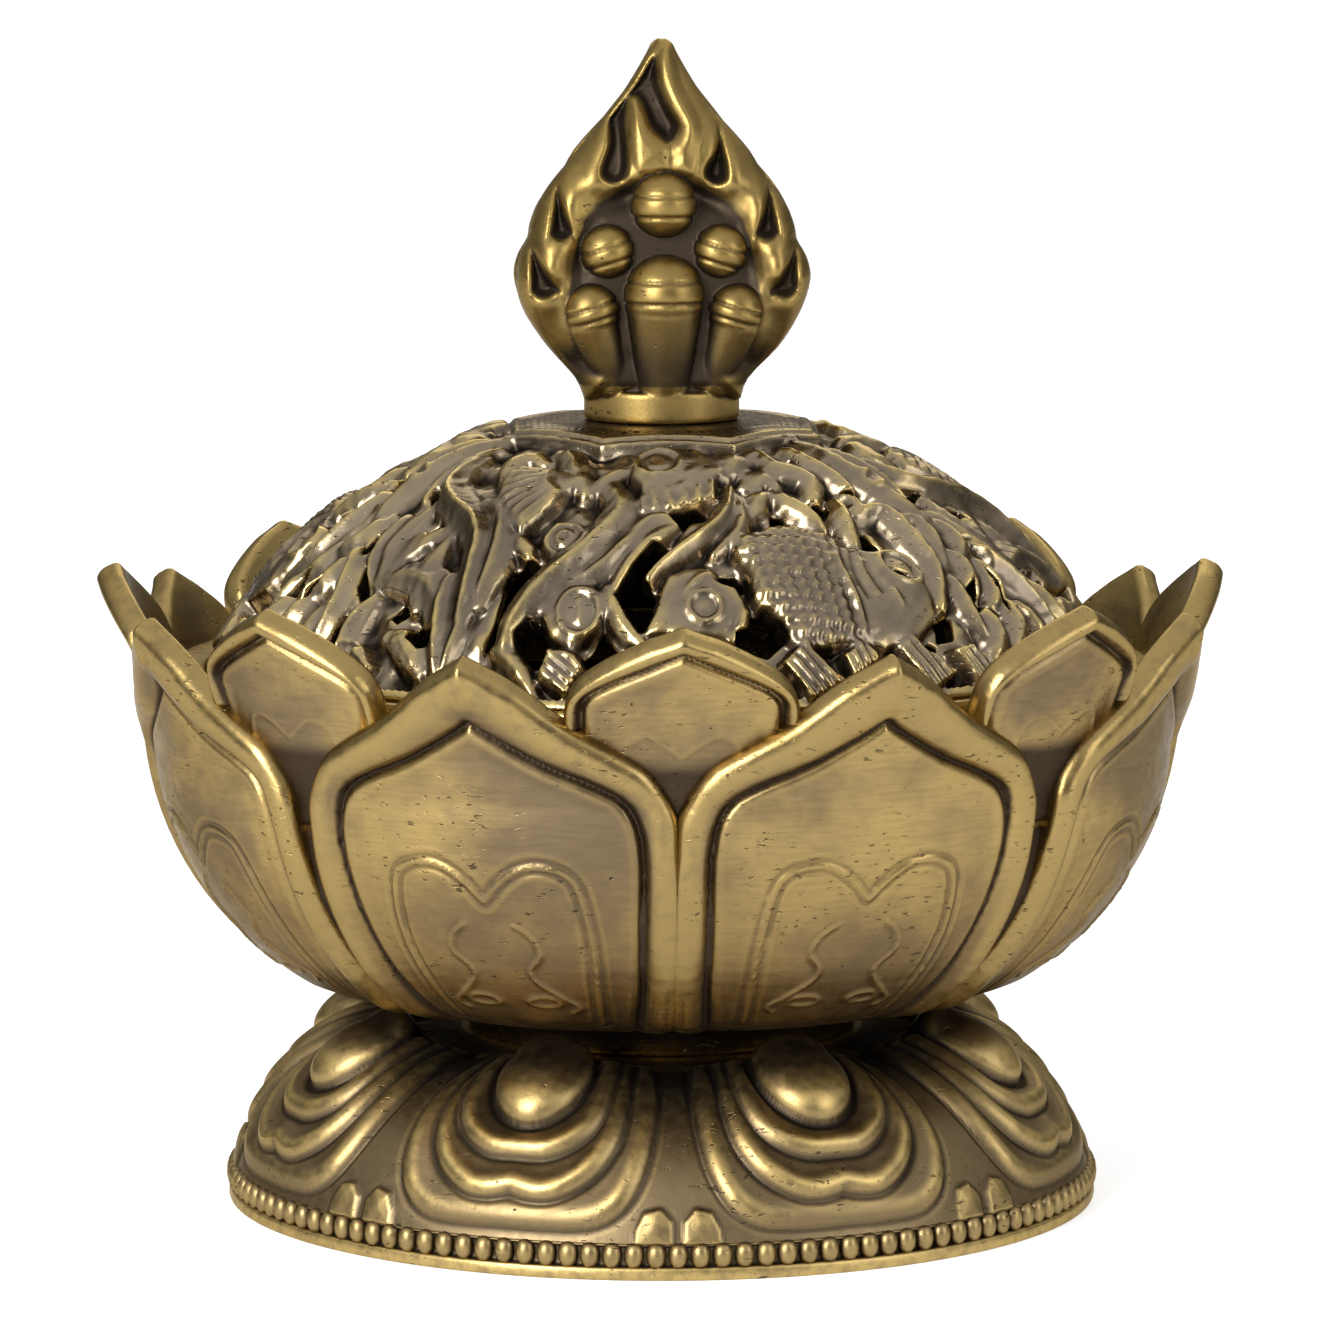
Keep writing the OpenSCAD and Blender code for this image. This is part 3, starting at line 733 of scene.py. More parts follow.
def bars(art):
    """Ribbed bars along the lower edge."""
    for corners, angle in (
        ([(9.9, -41.7), (11.9, -39.4), (16.9, -42), (12.9, -45.2)], 50),
        ([(15.8, -39.4), (17.6, -37.4), (20.2, -38.4), (17.3, -41.6)], 35),
        ([(21.4, -36.6), (22.6, -34.6), (28.2, -35.4), (25.5, -39.6)], 58),
        ([(27, -33.2), (28.6, -31.4), (33, -31.2), (31, -35.4)], 62),
        ([(-33.4, -30.6), (-30.2, -29.4), (-29.4, -33.2), (-31.6, -35.2)], 20),
        ([(-22.6, -38.4), (-19.8, -38.6), (-18, -41.6), (-21.4, -42.4)], 25),
        ([(1, -42.4), (5.6, -42), (6.4, -45), (0.4, -45.6)], 30),
        ([(-6.6, -43), (-3, -42.4), (-2.6, -45.6), (-6.8, -45.6)], 20),
    ):
        art.patch(corners, 0.3, 0.1, ribs(angle, 1.0, 0.6))


def side_ribbons(art):
    """Ribbons and leaves that fill the sides, away from the front."""
    for points in (
        [(24.2, -15.9), (26.8, -17.4), (27.4, -20.6)],
        [(25.6, -20), (28, -21.6), (28.6, -24.8)],
        [(28.6, -18.4), (31, -20.2), (31.4, -23.4)],
        [(31.6, -21.4), (34, -23.4), (34.2, -26.8)],
        [(29.4, -25.4), (31.8, -27), (32.2, -30.2)],
    ):
        art.ribbon(points, 1.6, 0.9, 0.9)
    art.ribbon([(26.6, -23.4), (28.6, -26.4), (31.2, -28.8)], 1.2, 0.7)
    art.ribbon([(20.4, -9.4), (24, -10.6), (27, -13)], 1.4, 0.7)
    art.ribbon([(-20.2, -10.4), (-24.6, -12.2), (-28.2, -15.4), (-30.4, -19.8), (-33.6, -23.4),
                (-37.4, -25.4)], 1.9, 1.1)
    art.ribbon([(-28.8, -24.6), (-31.6, -26.6), (-33.4, -30)], 1.4, 0.8)
    art.ribbon([(-24.2, -14.6), (-27, -17.6), (-29.2, -22.2)], 1.2, 0.6)
    art.ribbon([(-34, -20), (-36.8, -22.6)], 1.2, 0.5, 0.8)
    art.ring((-32, -29), 1.0, 0.4)


def piercings(art):
    """The holes that let the smoke out."""
    for outline in (
        [(-16.1, -30.9), (-14.9, -29.1), (-12.6, -29.2), (-11.8, -30.2), (-14, -31.9), (-16.2, -33.9),
         (-17.4, -36), (-19.2, -37.8), (-17.2, -34)],
        [(-14, -35.9), (-13.1, -36.4), (-12.6, -38.1), (-12.9, -40.7), (-14.3, -40.5), (-15.5, -38.4),
         (-15.4, -37)],
        [(-26, -32), (-24.8, -30.5), (-24.1, -32.2), (-23.1, -33.1), (-23.7, -34.1), (-25, -33.9)],
        [(-5.6, -35.2), (-3.8, -32.4), (-1.8, -29.7), (-0.2, -29.8), (-1.2, -31.8), (-3.1, -33.6),
         (-1.8, -35.2), (-2.2, -37.1), (-3.6, -39.5), (-4.6, -37.8)],
        [(-9.4, -41.4), (-7.9, -39.8), (-7, -38.5), (-6.2, -40.1), (-5.4, -41.4), (-8, -42.4)],
        [(-21.6, -11.8), (-20.5, -12.4), (-20.7, -15.2), (-21.9, -14)],
        [(-0.6, -26), (1.9, -24.9), (3.4, -24.6), (2.7, -26.5), (1.8, -27), (0.6, -27.2)],
        [(3.9, -33), (5.6, -32.6), (6.7, -33.6), (6, -34.6), (4.3, -34.5)],
        [(7.1, -37.1), (8.1, -36.8), (9.7, -37.9), (10.5, -39.2), (8.9, -40.9), (7.3, -40.8),
         (5.6, -41), (5.6, -39.4), (7, -38.7)],
        [(9, -24), (10, -23.7), (11.5, -25.5), (10.3, -26), (9.1, -25.3)],
        [(12.8, -21.4), (14.3, -21), (14.5, -22), (13.8, -23.2), (12.8, -22.4)],
        [(17.2, -23.8), (18, -22.1), (18.8, -23.2), (20.3, -24.3), (18.1, -26.2), (17.2, -25.3)],
        [(25.6, -30.1), (27.2, -28.2), (27.9, -30.6), (26.2, -32.2)],
        [(24, -34.5), (25.3, -32.9), (26.2, -32.9), (25.3, -35.2), (24.2, -35.2)],
        [(9.6, -15.6), (11, -13.9), (11.5, -14.8), (10.5, -16.2)],
        [(15.2, -18), (17.6, -17.6), (19, -17.6), (17.4, -18.9)],
        [(20.2, -28), (21.9, -27.6), (21.6, -28.6)],
        [(28.6, -22.4), (30.2, -24.8), (29.6, -26.4), (28, -24.4)],
        [(29.6, -19.2), (31.4, -20.2), (33.2, -23.2), (31.6, -22)],
        [(24.4, -12.4), (26.4, -12.6), (27.2, -14.4), (25.8, -14.2)],
        [(-28.4, -19.4), (-29.8, -21.4), (-30.4, -24.2), (-28.9, -22.6)],
        [(-31.6, -23.6), (-34.2, -25.6), (-34.6, -28), (-32.8, -26.4)],
        [(-26.6, -14.8), (-28.2, -16.6), (-28.8, -18), (-27.2, -17)],
        [(-22.4, -18.6), (-21, -18.4), (-20.7, -20), (-22.2, -20)],
        [(-27.6, -27.4), (-26, -26.8), (-25.4, -28.6), (-26.8, -29.2)],
    ):
        art.hole(outline)


def crown_of_lid(art, middle):
    """The eight-sided band and the stippled field round the finial."""
    turns = math.pi / 4 * np.arange(8)
    reach = np.max([art.u * math.cos(t) + art.v * math.sin(t) for t in turns], axis=0)
    grooves = bell(reach - 13.6, 0.22) + bell(reach - 12.4, 0.22)
    band = 0.25 + 0.15 * bell(reach - 13.0, 0.4) - 0.4 * grooves
    dots = np.sin(5.4 * art.u) * np.sin(5.4 * art.v)
    field = -0.15 + 0.22 * smooth_step(dots, 0.1, 0.7)
    crown = np.where(reach < 11.9, field, band)
    flat = (CROWN_TOP - DOME_Z) / np.cos(middle / DOME_R) - DOME_R
    crown = np.where(middle < 12.5, np.minimum(crown, flat + 0.5 * np.maximum(crown, -0.2)), crown)
    art.height = np.where(reach < CROWN_REACH, crown, art.height)
    art.holes = np.where(reach < CROWN_REACH + 0.4, NO_HOLE, art.holes)


def dome_field(u, v, out):
    """The pierced dome in flat coordinates: three like sectors, each drawn about the front."""
    flat_u, flat_v = u[:, :, 0], v[:, :, 0]
    middle = np.hypot(flat_u, flat_v)
    third = 2 * math.pi / 3
    angle = np.arctan2(flat_u, -flat_v)
    local = angle - third * np.round(angle / third)
    base = -1.0 + 0.35 * waves(flat_u, flat_v, 3.1, 4)
    art = Relief(middle * np.sin(local), -middle * np.cos(local), base)
    for draw in (side_ribbons, leaves, fan_tail, sun_disc, clouds, branches, leaf_and_face, fish, bars,
                 piercings):
        draw(art)
    seam = (third / 2 - np.abs(local)) * middle
    art.height = base + (art.height - base) * smooth_step(seam, 0.1, 1.6)
    art.u, art.v = flat_u, flat_v
    crown_of_lid(art, middle)
    front = softened(art.height, 2) + 0.06 * waves(flat_u, flat_v, 2.0, 9) * smooth_step(middle, 12, 16)
    front = np.where(middle > DOME_EDGE - 1.0, np.maximum(front, 0.1), front)
    body = smooth_max(out - front[:, :, None], -DOME_WALL - out, 0.25)
    body = smooth_max(body, -art.holes[:, :, None] + 0 * out, 0.35)
    return smooth_max(body, (middle - DOME_EDGE)[:, :, None] + 0 * out, 0.3)


def wrap_dome(points):
    """Takes flat (u, v, out) points onto the dome."""
    u, v, out = points.T
    middle = np.hypot(u, v) + 1e-9
    tilt = middle / DOME_R
    reach = (DOME_R + out) * np.sin(tilt)
    return np.stack([reach * u / middle, reach * v / middle, DOME_Z + (DOME_R + out) * np.cos(tilt)], 1)


def lid(material):
    """The pierced dome with the flange it rests on and the boss its screw goes through."""
    size = DOME_EDGE + 1
    points, faces = carve(dome_field, (-size, -size, -DOME_WALL - 0.8), (size, size, 2.6), LID_STEP)
    dome = solid(wrap_dome(points), faces, broad=DOME_BLUR)
    flange = [(35.8, 42.8), (37.6, 42.8), (37.6, 45.5), (39.6, 45.5), (39.6, 48), (38.9, 48.5),
              (36.6, 48.9), (35.8, 48)]
    boss = [(2.3, 65.4), (6, 65.4), (6.6, 67.4), (6.2, 68.6), (2.3, 68.6)]
    rings = [solid(*lathe(eased(flange, 0.4))), solid(*lathe(eased(boss, 0.3), 96))]
    piece("lid_dome", [dome, *rings], material, "lid", "old_bronze", "lid")


# ---------------------------------------------------------------- finial


FLAME_RIGHT = [(0.3, 102.5), (0.9, 102.1), (1.3, 101.3), (2.5, 99.2), (4.2, 96.6), (5.8, 94.9),
               (7.7, 92.7), (9.1, 90.3), (10.8, 88.2), (11.6, 86.2), (11.8, 85), (12.6, 83.6), (13, 82),
               (12.7, 80.2), (11.7, 77.9), (10.1, 75.5), (7.6, 72.9), (6.9, 71)]
FLAME_LEFT = [(-6.9, 71), (-7.7, 72.9), (-9.9, 75.4), (-12, 78.4), (-12.8, 80.8), (-12.6, 83.3),
              (-11.8, 85.1), (-11.5, 86.4), (-10.8, 88.3), (-9.4, 90.4), (-7.1, 93), (-5.2, 95.6),
              (-2.7, 98.8), (-1.5, 100.9), (-0.8, 101.8), (-0.3, 102.4)]


def drop(top, bottom, radius, spread=12):
    """Outline of a drop: a point at the top and a round bottom."""
    ends = [(bottom[0] + radius * math.cos(a), bottom[1] + radius * math.sin(a))
            for a in np.radians(np.arange(-spread, -181 + spread, -24))]
    return [top, *ends]


def flame_front(x, z):
    """The flame's face: how far it lies in front of the middle and inside the outline, and its painted
    shade.
    """
    outline = [*curve(FLAME_RIGHT, 3), *curve(FLAME_LEFT, 3)]
    inside = -outline_distance(x, z, outline)
    depth = np.interp(z, [69, 72, 76, 82, 87, 92, 97, 102.5], [6.2, 6.4, 7.2, 7.4, 6.4, 5.2, 4.0, 1.6])
    share = np.clip(inside / 3.4, 0, 1)
    front = depth * (0.34 + 0.66 * np.sqrt(1 - (1 - share) ** 2))
    channel = [(-5, 95.8), (-4.9, 93.5), (-5.5, 91.6), (-5.4, 90.6), (-4.4, 90), (-3.4, 90.4),
               (-3, 91.6), (-3, 93.7), (-3.1, 95.4), (-2.8, 97.1), (-2.3, 97.2), (-1.8, 96.3),
               (-1.2, 94.9), (-0.1, 93.9), (0.5, 93.7), (1, 94.1), (1.4, 95.1), (0.6, 96.7),
               (-0.2, 98.8), (-0.5, 100.9), (-1.1, 100.7), (-2.6, 98.6)]
    right_drop = [(4.9, 95.2), (4.5, 93), (3.6, 91.5), (3.7, 90.4), (4.6, 89.9), (5.5, 90.4),
                  (5.6, 91.6), (5.3, 93.2)]
    hollows = [(channel, 1.5), (right_drop, 1.8)]
    for side in (-1, 1):
        hollows.append((drop((side * 9.35, 90.2), (side * 9.0, 86.2), 1.1), 1.8))
        hollows.append((drop((side * 11.7, 84.9), (side * 10.5, 81.4), 1.3), 1.8))
    lift, shade_paint = np.zeros(x.shape), np.zeros(x.shape)
    for hollow, depth_cut in hollows:
        away = outline_distance(x, z, curve([*hollow, hollow[0]], 3))
        lift += 0.15 * bell(away - 0.8, 0.6) - depth_cut * smooth_step(-away, -0.25, 0.9)
        # Painted shade inside each hollow.
        shade_paint = np.maximum(shade_paint, 0.36 * smooth_step(-away, -0.2, 0.5))
    tongue = [(0.3, 102.2), (-0.5, 100.7), (-0.2, 98.8), (0.7, 96.7), (1.5, 95.1), (1.1, 94),
              (0.6, 93.4), (0.6, 91.2), (2.6, 90.7), (3.2, 93.2), (3.4, 94.9), (2.7, 96.7), (1.6, 98.8),
              (1.1, 101.9)]
    small = [(-2.55, 97.3), (-1.8, 96.2), (-1.2, 94.8), (-0.1, 93.8), (0.6, 93.4), (0.6, 91.2),
             (-2.3, 91), (-2.9, 93.8), (-3, 95.4)]
    for raised in (tongue, small):
        away = outline_distance(x, z, curve([*raised, raised[0]], 3))
        lift += 0.8 * (1 - np.exp(-np.maximum(-away, 0) / 0.9))
    valley = [(3.6, 89), (6, 88.4), (7.2, 86.6), (7.7, 83.4), (9, 80.6), (9.2, 77.6), (8, 74.6)]
    for side in (-1, 1):
        away, _ = polyline_distance(x, z, curve([(side * a, b) for a, b in valley]))
        lift -= 1.0 * bell(away, 1.3)
    nest = [(-3.6, 90.2), (0, 91.2), (3.6, 90.2), (7.2, 87), (8.6, 81), (8.4, 77), (6.4, 73), (0, 71.6),
            (-6.4, 73), (-8.4, 77), (-8.6, 81), (-7.2, 87)]
    middle = outline_distance(x, z, curve([*nest, nest[0]], 3))
    lift -= 1.2 * smooth_step(-middle, -0.4, 1.6) * smooth_step(z, 71.5, 75)
    # Painted shade in the middle hollow, and darker towards the bottom of the flame.
    shade_paint = np.maximum(shade_paint, 0.26 * smooth_step(-middle, -0.3, 1.2))
    shade_paint = np.maximum(shade_paint, 0.22 * smooth_step(-z, -78.5, -74.5))
    lift *= smooth_step(inside, 0.0, 0.8)
    return np.maximum(front + lift, 0.9), inside, shade_paint


def ball_with_bands(x, y, z, centre, radius, lean, bands):
    """A pearl with two thin grooves round it, leaning sideways."""
    dx, dy, dz = x - centre[0], y - centre[1], z - centre[2]
    level = dz * math.cos(lean) - dx * math.sin(lean)
    cut = 0.2 * (bell(level - bands[0], 0.16) + bell(level - bands[1], 0.16))
    return np.sqrt(dx**2 + dy**2 + dz**2) - radius + cut


def cone_between(x, y, z, top, top_r, bottom, bottom_r):
    """A round bar that tapers between two points."""
    axis = np.array(bottom) - np.array(top)
    from_top = (x - top[0], y - top[1], z - top[2])
    t = np.clip(sum(d * a for d, a in zip(from_top, axis)) / (axis @ axis), 0, 1)
    away = np.sqrt(sum((d - t * a) ** 2 for d, a in zip(from_top, axis)))
    return away - top_r - t * (bottom_r - top_r)


def finial_field(x, y, z):
    """Flame, pearls, jewel vases and collar. The back is the front turned half round."""
    flip = np.where(y < 0, 1.0, -1.0)
    mid = x.shape[1] // 2
    flat_x, flat_z = x[:, mid, :], z[:, mid, :]
    front, inside, _ = flame_front(flat_x, flat_z)
    front, inside = front[:, None, :], inside[:, None, :]
    faced = y < 0
    depth = np.where(faced, front, front[::-1])
    within = np.where(faced, inside, inside[::-1])
    both = np.minimum(within, np.maximum(inside, inside[::-1]))
    flame = smooth_max(np.abs(y) - depth, -both, 0.5)
    xs, ys = x * flip, y * flip
    field = flame
    pearls = [((0, -5.0, 88.2), 2.85, 0, (0.75, -1)), ((0, -6.2, 80.4), 3.5, 0, (1.2, -0.6))]
    for side in (-1, 1):
        pearls.append(((side * 4.9, -5.2, 84.1), 2.4, -side * 0.3, (0.5, -0.9)))
        pearls.append(((side * 6.3, -5.7, 79.0), 2.45, -side * 0.3, (0.35, -0.8)))
    for pearl in pearls:
        field = np.minimum(field, ball_with_bands(xs, ys, z, *pearl))
    field = np.minimum(field, cone_between(xs, ys, z, (0, -6.1, 79.2), 3.25, (0, -4.5, 72.4), 2.5))
    for side in (-1, 1):
        cone = cone_between(xs, ys, z, (side * 6.2, -5.5, 78.0), 2.25, (side * 4.3, -4.1, 72.8), 1.7)
        field = np.minimum(field, cone)
    around = np.hypot(x, y)
    collar = smooth_max(around - 6.85, np.abs(z - 70.5) - 1.4, 0.5)
    neck = smooth_max(around - 6.1, np.abs(z - 71.8) - 0.7, 0.3)
    field = np.minimum(field, np.minimum(collar, neck))
    bore = np.maximum(around - 2.05, z - 77.2)
    return np.maximum(field, -bore)


def finial(material):
    reach = 14.0 + FINIAL_STEP / 2
    points, faces = carve(finial_field, (-reach, -12.6, 68.4), (reach, 12.6, 103.2), FINIAL_STEP)
    flame = solid(points, faces, broad=FLAME_BLUR)
    facing = np.sign(-points[:, 1])
    # Painted shade in the flame's hollows and towards its bottom, kept off the pearls.
    _, _, shade_paint = flame_front(points[:, 0] * facing, points[:, 2])
    on_face = points[:, 2] > 72.4
    pearls = relief_of(points, flame[1], PEARL_BLUR) > 0.9
    low = 0.14 * smooth_step(-points[:, 2], -78, -73.5)
    flame = shade_painted(flame, np.where(on_face & ~pearls, shade_paint + low, on_face * low))
    piece("finial_flame", [flame], material, "lid", "finial_brass", "finial")


# ---------------------------------------------------------------- heat mat


def heat_mat(material):
    """A pressed fibre disc with a soft edge and an uneven face."""
    low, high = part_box("heat_mat")
    z0, z1, radius = low.z / MM, high.z / MM, high.x / MM
    r = np.linspace(0.4, radius - 0.9, 26)
    top = [(x, z1) for x in r]
    side = [(radius - 0.3, z1 - 0.25), (radius, z1 - 0.9), (radius, z0 + 0.9), (radius - 0.3, z0 + 0.25)]
    bottom = [(x, z0) for x in r[::-1]]
    points, faces = lathe([*top, *side, *bottom], 160)
    faces = outwards(points, faces)
    uneven = waves(points[:, 0], points[:, 1], 2.4, 12) * 0.06
    points[:, 2] = np.clip(points[:, 2] + uneven, z0, z1)
    mat = piece("heat_mat_felt", [(points, faces, uneven, uneven)], material, "mat", "fibre", "heat_mat")


# ---------------------------------------------------------------- materials


class Nodes:
    """Small helper for building a material's node tree."""

    def __init__(self, name):
        self.material = bpy.data.materials.new(name)
        self.material.use_nodes = True
        self.tree = self.material.node_tree
        self.shader = self.tree.nodes["Principled BSDF"]
        self.place = self.add("ShaderNodeTexCoord").outputs["Object"]

    def add(self, kind, **settings):
        node = self.tree.nodes.new(kind)
        for key, value in settings.items():
            setattr(node, key, value)
        return node

    def link(self, source, target):
        self.tree.links.new(source, target)

    def attribute(self, name):
        return self.add("ShaderNodeAttribute", attribute_name=name).outputs["Fac"]

    def ramp(self, value, low, high, out_low=0.0, out_high=1.0):
        node = self.add("ShaderNodeMapRange", interpolation_type="SMOOTHSTEP")
        self.link(value, node.inputs["Value"])
        limits = {"From Min": low, "From Max": high, "To Min": out_low, "To Max": out_high}
        for key, amount in limits.items():
            node.inputs[key].default_value = amount
        return node.outputs["Result"]

    def noise(self, scale, detail=4.0, stretch=(1, 1, 1), rough=0.55):
        mapping = self.add("ShaderNodeMapping")
        mapping.inputs["Scale"].default_value = stretch
        self.link(self.place, mapping.inputs["Vector"])
        node = self.add("ShaderNodeTexNoise")
        node.inputs["Scale"].default_value = scale
        node.inputs["Detail"].default_value = detail
        node.inputs["Roughness"].default_value = rough
        self.link(mapping.outputs["Vector"], node.inputs["Vector"])
        return node.outputs["Fac"]

    def mix(self, factor, one, two):
        node = self.add("ShaderNodeMix", data_type="RGBA")
        self.link(factor, node.inputs[0])
        for value, socket in ((one, node.inputs[6]), (two, node.inputs[7])):
            if isinstance(value, tuple):
                socket.default_value = (*value, 1)
            else:
                self.link(value, socket)
        return node.outputs[2]

    def math(self, operation, one, two):
        node = self.add("ShaderNodeMath", operation=operation)
        for value, socket in ((one, node.inputs[0]), (two, node.inputs[1])):
            if isinstance(value, (int, float)):
                socket.default_value = value
            else:
                self.link(value, socket)
        return node.outputs[0]

    def bump(self, height, strength, distance, below=None):
        node = self.add("ShaderNodeBump")
        node.inputs["Strength"].default_value = strength
        node.inputs["Distance"].default_value = distance
        self.link(height, node.inputs["Height"])
        if below is not None:
            self.link(below, node.inputs["Normal"])
        return node.outputs["Normal"]


def cast_metal(name, body, warm, bright, dark, shade, rough, edges, recesses, brushing, keen):
    """Antique plated casting: worn bright edges, dark recesses, pits, brushing, a patchy patina and
    painted shade.

    body, warm, bright, dark, shade: colours of the metal, its warmer patches, its bright edges, its dark
    recesses and painted shade, and the painted shade on its lower part.
    edges and recesses: the broad relief in mm where they begin and are full.
    keen: how much the finest edges and grooves count.
    """
    n = Nodes(name)
    fine, broad = n.attribute("fine"), n.attribute("broad")
    patches = n.noise(55, 5, rough=0.6)
    scuffs = n.noise(900, 3)
    speckle = n.noise(3400, 2)
    brushed = n.noise(130, 4, (3, 3, 26))
    tone = n.mix(n.ramp(patches, 0.38, 0.64), body, warm)
    tone = n.mix(n.ramp(brushed, 0.35, 0.75, 0.0, brushing), tone, dark)
    height = n.add("ShaderNodeSeparateXYZ")
    n.link(n.place, height.inputs[0])
    # Painted shade: darker towards the bottom of the burner.
    tone = n.mix(n.ramp(height.outputs["Z"], 0.040, 0.018, 0.0, 0.8), tone, shade)
    # Dark patina in the hollows, plus the painted shade added to the broad relief.
    patina_and_shade = n.math("MAXIMUM", n.ramp(fine, -0.008, -0.05, 0, keen),
                    n.ramp(broad, recesses[0], recesses[1]))
    patina_and_shade = n.math("MULTIPLY", patina_and_shade, n.ramp(patches, 0.2, 0.5, 0.8, 1.0))
    edge = n.math("MAXIMUM", n.ramp(fine, 0.006, 0.05, 0, keen), n.ramp(broad, edges[0], edges[1]))
    edge = n.math("MULTIPLY", edge, n.ramp(scuffs, 0.3, 0.6, 0.55, 1.0))
    tone = n.mix(edge, tone, bright)
    tone = n.mix(patina_and_shade, tone, dark)
    dashes = n.ramp(n.noise(800, 2, (1.2, 1.2, 4)), 0.64, 0.7, 0, 0.75)
    dashes = n.math("MULTIPLY", dashes, n.ramp(n.noise(110, 2), 0.46, 0.6))
    pits = n.math("MAXIMUM", dashes, n.ramp(n.noise(1500, 1), 0.77, 0.84))
    tone = n.mix(pits, tone, PIT_COLOUR)
    n.link(tone, n.shader.inputs["Base Color"])
    n.shader.inputs["Metallic"].default_value = 1.0
    n.shader.inputs["Specular Tint"].default_value = (*GRAZING_TINT, 1)
    gloss = n.math("ADD", n.ramp(scuffs, 0.25, 0.75, rough - 0.05, rough + 0.07),
                   n.ramp(patina_and_shade, 0, 1, 0, 0.15))
    gloss = n.math("SUBTRACT", gloss, n.ramp(edge, 0, 1, 0, 0.06))
    n.link(gloss, n.shader.inputs["Roughness"])
    grain = n.bump(speckle, 0.3, 0.00004, n.bump(scuffs, 0.12, 0.00005))
    lines = n.bump(brushed, 0.3 * brushing, 0.00008, grain)
    lumps = n.bump(n.noise(260, 3), 0.25, 0.00012, lines)
    holes = n.bump(n.math("SUBTRACT", 1.0, pits), 0.6, 0.00012, lumps)
    n.link(holes, n.shader.inputs["Normal"])
    return n.material


def turned_brass(name):
    """Plain turned brass of the holder, with lathe rings and a little soot."""
    n = Nodes(name)
    rings = n.noise(120, 3, (1, 1, 26))
    soot = n.noise(90, 5)
    tone = n.mix(n.ramp(soot, 0.45, 0.75), (0.62, 0.44, 0.19), (0.2, 0.14, 0.07))
    n.link(tone, n.shader.inputs["Base Color"])
    n.shader.inputs["Metallic"].default_value = 1.0
    n.link(n.ramp(rings, 0.3, 0.7, 0.24, 0.42), n.shader.inputs["Roughness"])
    n.link(n.bump(rings, 0.2, 0.00006), n.shader.inputs["Normal"])
    return n.material


def plated_steel(name):
    """Zinc-plated fasteners with a faint spangle."""
    n = Nodes(name)
    spangle = n.noise(420, 4)
    n.link(n.mix(n.ramp(spangle, 0.35, 0.7), (0.55, 0.55, 0.54), (0.4, 0.4, 0.39)),
           n.shader.inputs["Base Color"])
    n.shader.inputs["Metallic"].default_value = 1.0
    n.link(n.ramp(spangle, 0.3, 0.7, 0.26, 0.44), n.shader.inputs["Roughness"])
    n.link(n.bump(spangle, 0.15, 0.00005), n.shader.inputs["Normal"])
    return n.material


def fibre_felt(name):
    """Pressed mineral fibre with scorched patches."""
    n = Nodes(name)
    fibres = n.noise(1400, 6, (1, 1, 3), 0.7)
    scorch = n.noise(140, 4)
    tone = n.mix(n.ramp(fibres, 0.3, 0.7), (0.74, 0.7, 0.62), (0.56, 0.51, 0.43))
    tone = n.mix(n.ramp(scorch, 0.55, 0.8, 0, 0.6), tone, (0.3, 0.25, 0.19))
    n.link(tone, n.shader.inputs["Base Color"])
    n.shader.inputs["Roughness"].default_value = 0.95
    n.shader.inputs["Sheen Weight"].default_value = 0.2
    n.link(n.bump(fibres, 0.8, 0.0002), n.shader.inputs["Normal"])
    return n.material


def paint_nodes(material, *nodes):
    """Gives carried-over CAD nodes their material."""
    for name in nodes:
        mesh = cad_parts[name].data
        mesh.materials.clear()
        mesh.materials.append(material)
        for polygon in mesh.polygons:
            polygon.material_index = 0


# ---------------------------------------------------------------- studio


def floor():
    """A plain pale floor, which is not part of the object."""
    n = Nodes("pale_floor")
    n.link(n.mix(n.ramp(n.noise(6, 2), 0.3, 0.7), (0.6, 0.6, 0.6), (0.61, 0.61, 0.61)),
           n.shader.inputs["Base Color"])
    n.shader.inputs["Roughness"].default_value = 0.9
    n.shader.inputs["Emission Color"].default_value = (1, 1, 1, 1)
    n.shader.inputs["Emission Strength"].default_value = 0.5
    size = 9.0
    mesh = bpy.data.meshes.new("floor")
    mesh.from_pydata([(-size, -size, 0), (size, -size, 0), (size, size, 0), (-size, size, 0)], [],
                     [(0, 1, 2, 3)])
    mesh.materials.append(n.material)
    plane = bpy.data.objects.new("floor", mesh)
    bpy.context.scene.collection.objects.link(plane)


def softbox(name, place, target, width, height, watts, colour=(1, 1, 1)):
    light = bpy.data.lights.new(name, "AREA")
    light.shape = "RECTANGLE"
    light.size, light.size_y = width, height
    light.energy = watts
    light.color = colour
    lamp = bpy.data.objects.new(name, light)
    lamp.location = place
    lamp.rotation_mode = "QUATERNION"
    lamp.rotation_quaternion = (Vector(target) - Vector(place)).to_track_quat("-Z", "Y")
    bpy.context.scene.collection.objects.link(lamp)


def studio():
    """A white tent: bright overhead, dimmer round the sides, with two large soft lights."""
    world = bpy.data.worlds.new("studio")
    world.use_nodes = True
    tree = world.node_tree
    sky = tree.nodes.new("ShaderNodeTexCoord")
    parts = tree.nodes.new("ShaderNodeSeparateXYZ")
    lift = tree.nodes.new("ShaderNodeMapRange")
    for key, amount in (("From Min", 0.1), ("From Max", 0.9), ("To Min", 0.14), ("To Max", 1.15)):
        lift.inputs[key].default_value = amount
    tree.links.new(sky.outputs["Generated"], parts.inputs[0])
    tree.links.new(parts.outputs["Z"], lift.inputs["Value"])
    tree.links.new(lift.outputs["Result"], tree.nodes["Background"].inputs["Strength"])
    tree.nodes["Background"].inputs["Color"].default_value = (1, 1, 1, 1)
    bpy.context.scene.world = world
    aim = (0, 0, 0.05)
    softbox("key", (-0.42, -0.56, 0.34), aim, 0.36, 0.5, 8.0)
    softbox("fill", (0.55, -0.4, 0.28), aim, 0.35, 0.5, 1.6)
    softbox("rim", (0.1, 0.6, 0.5), aim, 0.6, 0.4, 1.5)
    bpy.context.scene.view_settings.view_transform = "Standard"


